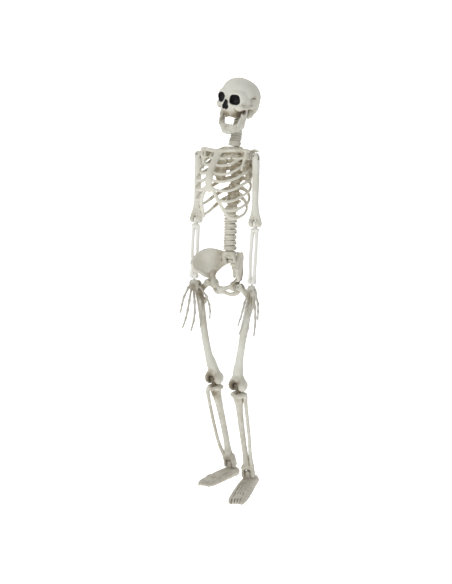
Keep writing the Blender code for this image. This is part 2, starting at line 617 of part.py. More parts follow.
def femur_solid(side):
    bone = ellipsoid("femur", (0, 0, 0), (0.0088, 0.0088, 0.0088), 10, 8)
    neck = tube("neck", [(side * 0.0020, 0, -0.0020), (side * 0.0130, 0, -0.0100),
                         (side * 0.0265, 0.0020, -0.0250)], [0.0064, 0.0066, 0.0070], sides=8)
    shaft = limb("shaft", [
        (-0.0040, 0.0055, 0.0065, side * 0.0300, 0.0040), (-0.0180, 0.0100, 0.0085, side * 0.0285, 0.0035),
        (-0.0400, 0.0088, 0.0080, side * 0.0240, 0.0010), (-0.0700, 0.0080, 0.0076, side * 0.0195, -0.0025),
        (-0.1200, 0.0076, 0.0074, side * 0.0125, -0.0050), (-0.1600, 0.0084, 0.0078, side * 0.0066, -0.0045),
        (-0.1880, 0.0125, 0.0080, side * 0.0015, -0.0020), (-0.2080, 0.0165, 0.0085, 0.0, 0.0)])
    join(bone, neck)
    join(bone, shaft)
    join(bone, rod("condyles", 0.0130, (-0.0180, 0, -FEMUR), (0.0180, 0, -FEMUR), 14))
    cut(bone, *clevis_cut(0.0092))
    cut(bone, block("notch", (-0.0046, -0.030, -FEMUR - 0.030), (0.0046, 0.030, -FEMUR + 0.0125)))
    return cut(bone, bore(0.05, at=(0, 0, -FEMUR)))


def shin_solid(side, yaw):
    """Tibia and fibula moulded together. The fork at the ankle is turned out by yaw."""
    bone = limb("plateau", [
        (-0.0158, 0.0180, 0.0112, 0.0, 0.0), (-0.0215, 0.0175, 0.0108, 0.0, 0.0),
        (-0.0330, 0.0110, 0.0090, -side * 0.0010, 0.0), (-0.0600, 0.0074, 0.0070, -side * 0.0020, 0.0),
        (-0.1200, 0.0060, 0.0060, -side * 0.0020, 0.0), (-0.1650, 0.0062, 0.0060, -side * 0.0015, 0.0),
        (-0.1850, 0.0090, 0.0070, 0.0, 0.0), (-0.1960, 0.0100, 0.0068, 0.0, 0.0)], sides=10)
    join(bone, hinge_tongue(0.0042, 0.0075, 0.0190))
    join(bone, tube("fibula", [(side * 0.0160, 0.0010, -0.0210), (side * 0.0178, -0.0005, -0.0450),
                               (side * 0.0170, -0.0010, -0.1200), (side * 0.0120, 0.0, -0.1880)],
                    [0.0045, 0.0033, 0.0032, 0.0044], sides=8, up=Vector((0, 1, 0))))
    for half in (-1, 1):
        cheek = loft("malleolus", [[Vector((half * x, y, z)) for y, z in (
            (0.0066, -0.1900), (0.0070, -TIBIA), (0.0045, -TIBIA - 0.0060), (-0.0045, -TIBIA - 0.0060),
            (-0.0070, -TIBIA), (-0.0066, -0.1900))] for x in (0.0058, 0.0102)])
        cheek.data.transform(turn("Z", side * yaw))
        join(bone, cheek)
    cut(bone, bore(0.03))
    drill = bore(0.05)
    drill.data.transform(place((0, 0, -TIBIA)) @ turn("Z", side * yaw))
    return cut(bone, drill)


def foot_solid(side):
    """Ankle block, heel and a flat-soled fore foot, toes to -Y."""
    rows = [(0.0230, 0.0070, -0.0250, -0.0080), (0.0140, 0.0105, -0.0290, -0.0060),
            (0.0000, 0.0115, -0.0290, -0.0080), (-0.0200, 0.0125, -0.0290, -0.0110),
            (-0.0450, 0.0145, -0.0290, -0.0150), (-0.0750, 0.0165, -0.0290, -0.0190),
            (-0.0980, 0.0150, -0.0290, -0.0215), (-0.1100, 0.0090, -0.0285, -0.0235)]
    rings = []
    for y, half, low, high in rows:
        middle = (low + high) / 2
        rings.append([Vector((half, y, middle)), Vector((half * 0.82, y, high - 0.001)),
                      Vector((half * 0.25, y, high)), Vector((-half * 0.45, y, high - 0.0005)),
                      Vector((-half * 0.90, y, high - 0.002)), Vector((-half, y, middle)),
                      Vector((-half * 0.85, y, low)), Vector((half * 0.85, y, low))])
    bone = loft("foot", rings)
    join(bone, loft("talus", [[Vector((x, y, z)) for y, z in (
        (0.0055, -0.0150), (0.0060, 0.0), (0.0035, 0.0055), (-0.0035, 0.0055), (-0.0062, 0.0),
        (-0.0090, -0.0150))] for x in (-0.0053, 0.0053)]))
    return cut(bone, bore(0.03))


def leg(side, waist):
    pose, tag = LEG[side], SIDE[side]
    here = Matrix.Identity(4)
    at = Vector((side * HIP.x, HIP.y, HIP.z))
    swing = joint("hip_swing_" + tag, place(at) @ turn("X", -pose["swing"]), waist)
    ball_link("hip_link_" + tag, (0.0080, 0.0040), 0.0078, 0.0113, side, swing, here)
    spread = joint("hip_spread_" + tag, turn("Y", -side * pose["spread"] - PELVIS_ROLL), swing)
    finish(femur_solid(side), "femur_" + tag, here, spread)
    pin("hip_pin_" + tag, 0.0182, spread, here, "Y")
    pin("knee_pin_" + tag, 0.0366, spread, place((0, 0, -FEMUR)))
    knee = joint("knee_bend_" + tag, place((0, 0, -FEMUR)) @ turn("X", pose["knee"]), spread)
    finish(shin_solid(side, pose["yaw"]), "shin_" + tag, here, knee)
    ankle_frame = place((0, 0, -TIBIA)) @ turn("Z", side * pose["yaw"])
    pin("ankle_pin_" + tag, 0.0210, knee, ankle_frame)
    ankle = joint("ankle_bend_" + tag, ankle_frame @ turn("X", pose["foot"]), knee)
    finish(foot_solid(side), "foot_" + tag, here, ankle)


# --- assembly ----------------------------------------------------------------------------------------
def build():
    for obj in list(bpy.data.objects):
        bpy.data.objects.remove(obj)
    figure = bpy.data.objects.new("figure", None)
    bpy.context.scene.collection.objects.link(figure)
    figure.location = FIGURE_AT
    skull = head(figure)
    frame, length = neck_frame(skull.matrix_local)
    turning = joint("neck_turn", frame, figure)
    nod = frame.inverted() @ skull.matrix_local @ place(NOD_AT)
    finish(cervical_spine(length, nod), "cervical_spine", Matrix.Identity(4), turning)
    ribcage_front(figure)
    ribcage_back(figure, frame)
    waist = pelvis(figure)
    lumbar_spine(figure, waist.matrix_local)
    for side in (-1, 1):
        arm(side, figure)
        leg(side, waist)


build()
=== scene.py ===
"""Looks of the hanging skeleton figure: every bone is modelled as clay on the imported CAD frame.

Lengths inside a bone are in millimetres, in a frame taken from the CAD's joints: x to the figure's
left, y to its back, z up. A mesh goes out in metres, in the row frame, and rides its CAD body.
"""
import json
from math import asin, cos, pi, radians, sin

import bpy
import numpy as np
from mathutils import Matrix, Vector


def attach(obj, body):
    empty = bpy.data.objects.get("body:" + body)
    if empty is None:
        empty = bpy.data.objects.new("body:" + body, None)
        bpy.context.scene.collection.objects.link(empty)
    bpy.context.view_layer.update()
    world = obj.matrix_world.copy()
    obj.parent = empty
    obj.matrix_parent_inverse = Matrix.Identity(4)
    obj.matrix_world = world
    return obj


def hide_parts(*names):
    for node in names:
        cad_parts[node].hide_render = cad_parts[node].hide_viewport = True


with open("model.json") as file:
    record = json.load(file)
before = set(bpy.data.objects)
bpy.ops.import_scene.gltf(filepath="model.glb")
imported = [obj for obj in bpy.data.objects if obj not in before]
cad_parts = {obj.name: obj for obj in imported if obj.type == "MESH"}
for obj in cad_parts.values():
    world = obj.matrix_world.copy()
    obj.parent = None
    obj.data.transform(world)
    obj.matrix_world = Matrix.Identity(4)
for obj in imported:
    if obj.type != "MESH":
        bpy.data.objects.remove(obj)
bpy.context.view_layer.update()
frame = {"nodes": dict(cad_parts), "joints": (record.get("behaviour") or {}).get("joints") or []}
JOINTS = {j["name"]: j for j in frame["joints"]}
SIDES = {"right": -1, "left": 1}
BAND = 8.0                                   # how far round a surface its distances are kept


# --- clay ---
def curve(points, values, spacing):
    """Points and values along a smooth curve through the given ones."""
    points = np.array(points, float)
    values = np.full(len(points), float(values)) if np.isscalar(values) else np.array(values, float)
    if len(points) == 2:
        count = max(2, int(np.linalg.norm(points[1] - points[0]) / (spacing * 4)) + 1)
        t = np.linspace(0, 1, count)[:, None]
        return points[0] + (points[1] - points[0]) * t, values[0] + (values[1] - values[0]) * t[:, 0]
    data = np.column_stack([points, values])
    data = np.vstack([2 * data[0] - data[1], data, 2 * data[-1] - data[-2]])
    out = []
    for i in range(1, len(data) - 2):
        a, b, c, d = data[i - 1:i + 3]
        count = max(1, int(np.linalg.norm(c[:3] - b[:3]) / spacing))
        for t in np.arange(count) / count:
            out.append(b + 0.5 * t * (c - a + t * (2 * a - 5 * b + 4 * c - d + t * (3 * (b - c) + d - a))))
    out = np.array(out + [data[-2]])
    return out[:, :3], np.maximum(out[:, 3], 0.3)


class Clay:
    """Signed distances on a block of points, shaped by adding and carving."""

    def __init__(self, low, high, step):
        self.step = step
        self.low = np.array(low, float) - 3
        self.count = np.ceil((np.array(high, float) + 3 - self.low) / step).astype(int)
        self.f = np.full(self.count, BAND, np.float32)
        self.black = None

    def grid(self, low, high):
        a = np.clip(((np.array(low) - self.low) / self.step).astype(int), 0, self.count)
        b = np.clip(((np.array(high) - self.low) / self.step).astype(int) + 2, 0, self.count)
        where = tuple(slice(i, j) for i, j in zip(a, b))
        axes = [self.low[i] + self.step * np.arange(a[i], b[i], dtype=np.float32) for i in range(3)]
        return where, (axes[0][:, None, None], axes[1][None, :, None], axes[2][None, None, :])

    def apply(self, where, d, blend, carve, black=False):
        f = self.f[where]
        if black:
            if self.black is None:
                self.black = np.full(self.count, BAND, np.float32)
            self.black[where] = np.minimum(self.black[where], d)
        if carve:
            h = np.clip(0.5 - 0.5 * (f + d) / blend, 0, 1)
            self.f[where] = f - (d + f) * h + blend * h * (1 - h)
        else:
            h = np.clip(0.5 + 0.5 * (f - d) / blend, 0, 1)
            self.f[where] = f + (d - f) * h - blend * h * (1 - h)

    def bar(self, path, radius, blend=2.0, flat=1.0, thin=None, carve=False):
        """A swept bar. flat is its thickness along thin, as a share of its width."""
        self.bars([path], radius, blend, flat, thin, carve)

    def bars(self, paths, radius, blend=2.0, flat=1.0, thin=None, carve=False):
        """Several bars laid as one sheet."""
        sheet = np.full(self.count, BAND, np.float32)
        ends = []
        for path in paths:
            points, radii = curve(path, radius, self.step * 2.5)
            ends += [points.min(0) - max(radii), points.max(0) + max(radii)]
            for a, b, ra, rb in zip(points, points[1:], radii, radii[1:]):
                reach = max(ra, rb) + BAND
                where, q = self.grid(np.minimum(a, b) - reach, np.maximum(a, b) + reach)
                e = b - a
                p = [q[i] - a[i] for i in range(3)]
                t = np.clip(sum(p[i] * e[i] for i in range(3)) / max(e @ e, 1e-9), 0, 1)
                p = [p[i] - t * e[i] for i in range(3)]
                square = p[0] ** 2 + p[1] ** 2 + p[2] ** 2
                if flat != 1.0:
                    n = np.cross(e, (0, 0, 1)) if thin is None else np.array(thin, float)
                    n = n / max(np.linalg.norm(n), 1e-9)
                    square = square + (sum(p[i] * n[i] for i in range(3)) / flat) ** 2 * (1 - flat ** 2)
                sheet[where] = np.minimum(sheet[where], np.sqrt(square) - (ra + (rb - ra) * t))
        ends = np.array(ends)
        where, _ = self.grid(ends.min(0) - BAND, ends.max(0) + BAND)
        self.apply(where, sheet[where], blend, carve)

    def around(self, centre, reach, turn):
        """The grid near a centre, as places in a frame turned about it."""
        where, q = self.grid(centre - reach - BAND, centre + reach + BAND)
        p = [q[i] - centre[i] for i in range(3)]
        if turn is not None:
            m = np.array(turn, float)
            p = [p[0] * m[0][i] + p[1] * m[1][i] + p[2] * m[2][i] for i in range(3)]
        return where, p

    def ball(self, centre, radii, blend=2.0, turn=None, carve=False, black=False):
        centre, radii = np.array(centre, float), np.array(radii, float)
        where, p = self.around(centre, radii.max(), turn)
        near = np.sqrt(sum((p[i] / radii[i]) ** 2 for i in range(3)))
        slope = np.sqrt(sum((p[i] / radii[i] ** 2) ** 2 for i in range(3)))
        d = np.clip(near * (near - 1) / np.maximum(slope, 1e-6), -BAND, BAND)
        d = np.where(near < 0.3, -BAND, d)
        self.apply(where, d, blend, carve, black)

    def block(self, centre, half, rounded=1.0, blend=0.6, turn=None, carve=False, black=False):
        centre, half = np.array(centre, float), np.array(half, float)
        where, p = self.around(centre, half if turn is None else np.linalg.norm(half), turn)
        over = [np.abs(p[i]) - (half[i] - rounded) for i in range(3)]
        out = np.sqrt(sum(np.maximum(o, 0) ** 2 for o in over))
        d = out + np.minimum(np.maximum(np.maximum(over[0], over[1]), over[2]), 0) - rounded
        self.apply(where, np.clip(d, -BAND, BAND), blend, carve, black)

    def drum(self, start, end, radius, rounded=1.0, blend=0.8, carve=False):
        """A cylinder with rounded rims."""
        a, b = np.array(start, float), np.array(end, float)
        where, q = self.grid(np.minimum(a, b) - radius - BAND, np.maximum(a, b) + radius + BAND)
        length = np.linalg.norm(b - a)
        n = (b - a) / length
        p = [q[i] - (a[i] + b[i]) / 2 for i in range(3)]
        along = sum(p[i] * n[i] for i in range(3))
        across = np.sqrt(np.maximum(sum(x ** 2 for x in p) - along ** 2, 0))
        o = [np.abs(along) - (length / 2 - rounded), across - (radius - rounded)]
        d = np.sqrt(np.maximum(o[0], 0) ** 2 + np.maximum(o[1], 0) ** 2) + np.minimum(np.maximum(*o), 0) - rounded
        self.apply(where, np.clip(d, -BAND, BAND), blend, carve)

    def sample(self, field, points):
        """A field's values between its grid points."""
        p = (points - self.low) / self.step
        i = np.clip(p.astype(int), 0, self.count - 2)
        t = np.clip(p - i, 0, 1)
        total = 0
        for dx in (0, 1):
            for dy in (0, 1):
                for dz in (0, 1):
                    w = (np.abs(1 - dx - t[:, 0]) * np.abs(1 - dy - t[:, 1]) * np.abs(1 - dz - t[:, 2]))
                    total = total + w * field[i[:, 0] + dx, i[:, 1] + dy, i[:, 2] + dz]
        return total

    def blurred(self, radius):
        """How full of clay the room around each point is: above 0 in a hollow, below 0 on a ridge."""
        size = max(1, int(round(radius / self.step)))
        g = np.clip(0.5 - self.f / self.step, 0, 1)
        for _ in range(2):
            for axis in range(3):
                padded = np.pad(g, [(size + 1, size) if a == axis else (0, 0) for a in range(3)], mode="edge")
                total = np.cumsum(padded, axis=axis, dtype=np.float64)
                upper = np.take(total, range(2 * size + 1, total.shape[axis]), axis=axis)
                lower = np.take(total, range(0, total.shape[axis] - 2 * size - 1), axis=axis)
                g = ((upper - lower) / (2 * size + 1)).astype(np.float32)
        return g - 0.5

    def skin(self):
        """Points and quads of the surface, by surface nets."""
        f = self.f
        inside = f < 0
        total = sum(inside[x:x + inside.shape[0] - 1, y:y + inside.shape[1] - 1, z:z + inside.shape[2] - 1]
                    .astype(np.int8) for x in (0, 1) for y in (0, 1) for z in (0, 1))
        cells = np.argwhere((total > 0) & (total < 8))
        index = np.full(total.shape, -1, np.int64)
        index[tuple(cells.T)] = np.arange(len(cells))
        where, hits = np.zeros((len(cells), 3)), np.zeros(len(cells))
        for axis in range(3):
            others = [a for a in range(3) if a != axis]
            for u in (0, 1):
                for v in (0, 1):
                    start = cells.copy()
                    start[:, others[0]] += u
                    start[:, others[1]] += v
                    end = start.copy()
                    end[:, axis] += 1
                    f0, f1 = f[tuple(start.T)], f[tuple(end.T)]
                    crossed = (f0 < 0) != (f1 < 0)
                    t = np.where(crossed, f0 / np.where(crossed, f0 - f1, 1), 0)
                    point = start.astype(float)
                    point[:, axis] += t
                    where += point * crossed[:, None]
                    hits += crossed
        points = self.low + where / hits[:, None] * self.step
        quads = []
        for axis in range(3):
            u, v = [a for a in range(3) if a != axis]
            first, second = [slice(None)] * 3, [slice(None)] * 3
            first[axis], second[axis] = slice(0, -1), slice(1, None)
            for a in (u, v):
                first[a] = second[a] = slice(1, -1)
            s0, s1 = inside[tuple(first)], inside[tuple(second)]
            for sign in (True, False):
                edge = np.argwhere((s0 != s1) & (s0 == sign))
                edge[:, u] += 1
                edge[:, v] += 1
                ring = []
                for du, dv in ((-1, -1), (0, -1), (0, 0), (-1, 0)):
                    cell = edge.copy()
                    cell[:, u] += du
                    cell[:, v] += dv
                    ring.append(index[tuple(cell.T)])
                quad = np.column_stack(ring)
                quads.append(quad[:, ::-1] if sign == (axis == 1) else quad)
        return points, np.vstack(quads)


def waves(points, size, seed):
    """Smooth pseudo-random bumps from -1 to 1, about size millimetres apart."""
    rng = np.random.default_rng(seed)
    total = np.zeros(len(points))
    for _ in range(9):
        direction = rng.normal(size=3)
        direction *= (0.7 + 0.6 * rng.random()) / (np.linalg.norm(direction) * size)
        total += np.sin(2 * pi * (points @ direction + rng.random()))
    return total / 4


def bone(name, clay, at, body, nodes, material="bone", rough=0.16, stain_and_shade=0.0, stain_and_shade_spots=(), seed=0):
    """Turns the clay into a mesh that rides its body and stands for its CAD nodes."""
    points, quads = clay.skin()
    for _ in range(2):
        value = clay.sample(clay.f, points)
        slope = np.column_stack([
            clay.sample(clay.f, points + e) - clay.sample(clay.f, points - e)
            for e in np.eye(3) * clay.step * 0.5]) / clay.step
        square = np.maximum((slope ** 2).sum(1), 0.25)
        points = points - np.clip(value / square, -0.4 * clay.step, 0.4 * clay.step)[:, None] * slope
    fine, broad = clay.sample(clay.blurred(1.6), points), clay.sample(clay.blurred(4.0), points)
    normal = slope / np.sqrt(square)[:, None]
    bumps = waves(points, 9.0, seed) * 0.6 + waves(points, 4.0, seed + 50) * 0.4
    # The stain-and-shade amount: real staining mixed with painted shade in recesses, joints and the inside of the
    # rib cage, as one level for the whole bone plus soft spots; a spot below 0 lightens the colour as a painted
    # highlight.
    stain_and_shade_amount = np.full(len(points), float(stain_and_shade))
    for x, y, z, radius, amount in stain_and_shade_spots:
        near = np.linalg.norm(points - (x, y, z), axis=1) / radius
        stain_and_shade_amount = stain_and_shade_amount + amount * np.exp(-near ** 2)
    paint = np.zeros(len(points))
    if clay.black is not None:
        paint = np.clip(1.7 - clay.sample(clay.black, points) / 0.8, 0, 1)
    points = points + normal * (rough * bumps * (1 - paint))[:, None]
    world = np.array(at, float)
    points = (points * 0.001) @ world[:3, :3].T + world[:3, 3]

    mesh = bpy.data.meshes.new(name)
    mesh.vertices.add(len(points))
    mesh.vertices.foreach_set("co", points.astype(np.float32).ravel())
    mesh.loops.add(quads.size)
    mesh.loops.foreach_set("vertex_index", quads.astype(np.int32).ravel())
    mesh.polygons.add(len(quads))
    mesh.polygons.foreach_set("loop_start", np.arange(0, quads.size, 4, dtype=np.int32))
    mesh.update(calc_edges=True)
    mesh.polygons.foreach_set("use_smooth", np.ones(len(quads), bool))
    for key, values in (("fine", fine), ("broad", broad), ("stain_and_shade_amount", stain_and_shade_amount), ("paint", paint)):
        mesh.attributes.new(key, "FLOAT", "POINT").data.foreach_set("value", values.astype(np.float32))
    piece = bpy.data.objects.new(name, mesh)
    bpy.context.scene.collection.objects.link(piece)
    mesh.materials.append(MATERIALS[material])
    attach(piece, body)
    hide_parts(*nodes)
    return piece


# --- materials ---
class Graph:
    """Short hand for a material's nodes."""

    def __init__(self, name):
        self.material = bpy.data.materials.new(name)
        self.material.use_nodes = True
        self.nodes = self.material.node_tree.nodes
        self.links = self.material.node_tree.links
        self.shader = self.nodes["Principled BSDF"]

    def node(self, kind, inputs=(), **settings):
        node = self.nodes.new(kind)
        for key, value in settings.items():
            setattr(node, key, value)
        for key, value in dict(inputs).items():
            if hasattr(value, "node"):
                self.links.new(value, node.inputs[key])
            else:
                node.inputs[key].default_value = value
        return node

    def attribute(self, name):
        return self.node("ShaderNodeAttribute", attribute_name=name).outputs["Fac"]

    def noise(self, scale, detail=4.0, roughness=0.55):
        where = self.node("ShaderNodeTexCoord").outputs["Object"]
        return self.node("ShaderNodeTexNoise", {"Vector": where, "Scale": scale, "Detail": detail,
                                                "Roughness": roughness}).outputs["Fac"]

    def ramp(self, value, low, high, out_low=0.0, out_high=1.0):
        return self.node("ShaderNodeMapRange", {"Value": value, "From Min": low, "From Max": high,
                                                "To Min": out_low, "To Max": out_high},
                         interpolation_type="SMOOTHSTEP").outputs["Result"]

    def math(self, operation, a, b=0.0, clamp=False):
        return self.node("ShaderNodeMath", {0: a, 1: b}, operation=operation, use_clamp=clamp).outputs[0]

    def mix(self, share, a, b, blend="MIX"):
        node = self.node("ShaderNodeMix", data_type="RGBA", blend_type=blend)
        for key, value in ((0, share), (6, a), (7, b)):
            if hasattr(value, "node"):
                self.links.new(value, node.inputs[key])
            else:
                node.inputs[key].default_value = value if key == 0 else (*value, 1.0)
        return node.outputs[2]

    def bump(self, height, distance, strength=1.0, under=None):
        inputs = {"Height": height, "Distance": distance, "Strength": strength}
        if under is not None:
            inputs["Normal"] = under
        return self.node("ShaderNodeBump", inputs).outputs["Normal"]


def bone_plastic(name, light, warm, wash, dark, level):
    """Moulded plastic painted as old bone: a pale coat, a brown wash in the hollows, rubbed ridges, spots of
    staining and painted shade, and painted shade at grazing angles.
    """
    g = Graph(name)
    clouds, blotches, specks = g.noise(22, 5), g.noise(75, 6, 0.65), g.noise(420, 3, 0.6)
    fine, broad, stain_and_shade_amount = g.attribute("fine"), g.attribute("broad"), g.attribute("stain_and_shade_amount")
    coat = g.mix(g.ramp(clouds, 0.35, 0.68), light, warm)
    hollow = g.math("ADD", g.ramp(fine, 0.0, 0.20), g.ramp(broad, -0.02, 0.24))
    # Brown wash in the hollows plus the stain-and-shade amount, which holds painted shade as well as real
    # staining, broken up by blotches.
    wash_and_shade = g.math("MULTIPLY", g.math("ADD", hollow, stain_and_shade_amount), g.ramp(blotches, 0.32, 0.62, 0.35, 1.5))
    wash_and_shade_share = g.math("MULTIPLY", wash_and_shade, level, clamp=True)
    colour = g.mix(wash_and_shade_share, coat, wash)
    deep = g.math("MULTIPLY", g.ramp(fine, 0.13, 0.30), g.ramp(blotches, 0.3, 0.6, 0.6, 1.0))
    colour = g.mix(g.math("MULTIPLY", deep, 0.8), colour, dark)
    colour = g.mix(g.math("MULTIPLY", g.ramp(specks, 0.62, 0.74), 0.22), colour, wash)
    # Painted shadow: where the stain-and-shade amount runs high, as under the cheek arches and in the knees, the
    # colour goes nearly black.
    dark_stain_and_shadow = g.math("MULTIPLY", g.ramp(stain_and_shade_amount, 0.8, 2.2), 0.75)
    colour = g.mix(dark_stain_and_shadow, colour, dark)
    ridge = g.math("MULTIPLY", g.ramp(fine, -0.14, -0.30), 0.25)
    colour = g.mix(ridge, colour, tuple(min(1, c * 1.12) for c in light))
    # Painted shade: faces turned away from the camera are darkened towards the wash colour, standing in for the
    # darker silhouette edges.
    grazing_shade = g.node("ShaderNodeLayerWeight", {"Blend": 0.5}).outputs["Facing"]
    colour = g.mix(g.ramp(grazing_shade, 0.55, 1.0, 0.0, 0.55), colour, wash)
    colour = g.mix(g.attribute("paint"), colour, (0.012, 0.011, 0.013))
    g.links.new(colour, g.shader.inputs["Base Color"])
    rough = g.math("ADD", g.ramp(blotches, 0.3, 0.7, 0.50, 0.66), g.math("MULTIPLY", wash_and_shade_share, 0.10))
    g.links.new(rough, g.shader.inputs["Roughness"])
    g.shader.inputs["Specular IOR Level"].default_value = 0.38
    pits = g.bump(g.noise(900, 3, 0.6), 0.00012, 0.55)
    pits = g.bump(g.noise(260, 4, 0.55), 0.00030, 0.50, pits)
    g.links.new(pits, g.shader.inputs["Normal"])
    return g.material


def steel(name):
    g = Graph(name)
    scratches = g.noise(700, 5, 0.7)
    g.links.new(g.mix(scratches, (0.50, 0.49, 0.47), (0.66, 0.65, 0.63)), g.shader.inputs["Base Color"])
    g.links.new(g.ramp(scratches, 0.3, 0.7, 0.28, 0.45), g.shader.inputs["Roughness"])
    g.shader.inputs["Metallic"].default_value = 1.0
    g.links.new(g.bump(scratches, 0.00004, 0.5), g.shader.inputs["Normal"])
    return g.material


MATERIALS = {
    "bone": bone_plastic("bone_coat", (0.735, 0.730, 0.660), (0.660, 0.645, 0.560),
                         (0.330, 0.285, 0.205), (0.085, 0.065, 0.040), 0.62),
    "ribs": bone_plastic("rib_coat", (0.735, 0.725, 0.640), (0.650, 0.630, 0.535),
                         (0.350, 0.295, 0.205), (0.105, 0.080, 0.048), 0.72),
    "foot": bone_plastic("foot_coat", (0.660, 0.630, 0.550), (0.560, 0.525, 0.440),
                         (0.250, 0.205, 0.140), (0.070, 0.052, 0.032), 0.75),
    "pale": bone_plastic("pale_coat", (0.860, 0.860, 0.820), (0.800, 0.795, 0.740),
                         (0.400, 0.360, 0.280), (0.120, 0.095, 0.065), 0.55),
    "hand": bone_plastic("hand_coat", (0.700, 0.700, 0.650), (0.600, 0.590, 0.520),
                         (0.270, 0.235, 0.170), (0.070, 0.055, 0.035), 0.85),
    "steel": steel("pin_steel"),
}


# --- frames taken from the CAD's joints ---
def axes(at, x=None, z=None, keep="x"):
    """A frame at a point: x and z are its axes, and the one named by keep is exact."""
    x, z = Vector(x).normalized(), Vector(z).normalized()
    if keep == "x":
        z = (z - x * z.dot(x)).normalized()
    else:
        x = (x - z * x.dot(z)).normalized()
    y = z.cross(x)
    m = Matrix((x, y, z)).transposed().to_4x4()
    m.translation = Vector(at)
    return m


def where(joint):
    return Vector(JOINTS[joint]["pos_m"])


def axis(joint):
    return Vector(JOINTS[joint]["axis"])


def spin(name, degrees):
    return Matrix.Rotation(radians(degrees), 4, name)


def shift(x, y, z):
    return Matrix.Translation((x * 0.001, y * 0.001, z * 0.001))


def turned(name, degrees):
    return Matrix.Rotation(radians(degrees), 3, name)


BACK, BELOW = 0.79433, 0.60748               # direction from the hinge of the jaw to the pin of the neck
skull_x = axis("jaw_open")
away = (where("head_nod") - where("jaw_open")).normalized()
over = skull_x.cross(away)
skull_y, skull_z = away * BACK + over * BELOW, over * BACK - away * BELOW
SKULL = Matrix((skull_x, skull_y, skull_z)).transposed().to_4x4()
SKULL.translation = where("jaw_open")
SKULL = SKULL @ shift(0, 12, 21)
JAW = SKULL @ shift(0, -12, -21) @ spin("X", 24)
NECK = axes(where("neck_turn"), skull_x, where("head_nod") - where("neck_turn"), "z")
NECK_LENGTH = (where("head_nod") - where("neck_turn")).length * 1000
TORSO = Matrix.Translation(where("neck_turn")) @ shift(0, -12.5, 150)
PELVIS = axes((where("hip_swing_right") + where("hip_swing_left")) / 2,
              where("hip_swing_left") - where("hip_swing_right"), (0, 0, 1)) @ shift(0, 20, 75)


def place(turn, x, y, z, start=(0, 0, 0)):
    """A point given in a turned frame that starts at another point."""
    return Vector(start) + turn @ Vector((x, y, z))


def on(side, *points):
    """Points given for the left, on the side named by -1 or 1."""
    return [(side * x, y, z) for x, y, z in points]


def spots(side, *stain_and_shade_spots):
    """Spots of staining and painted shade given for the left, as x, y, z, radius and strength, on the side named
    by -1 or 1.
    """
    return [(side * x, *rest) for x, *rest in stain_and_shade_spots]


def along(edge, t):
    """The point of an edge at t, from 0 to 1 with equal steps between its points."""
    return [float(np.interp(t * (len(edge) - 1), range(len(edge)), values)) for values in zip(*edge)]


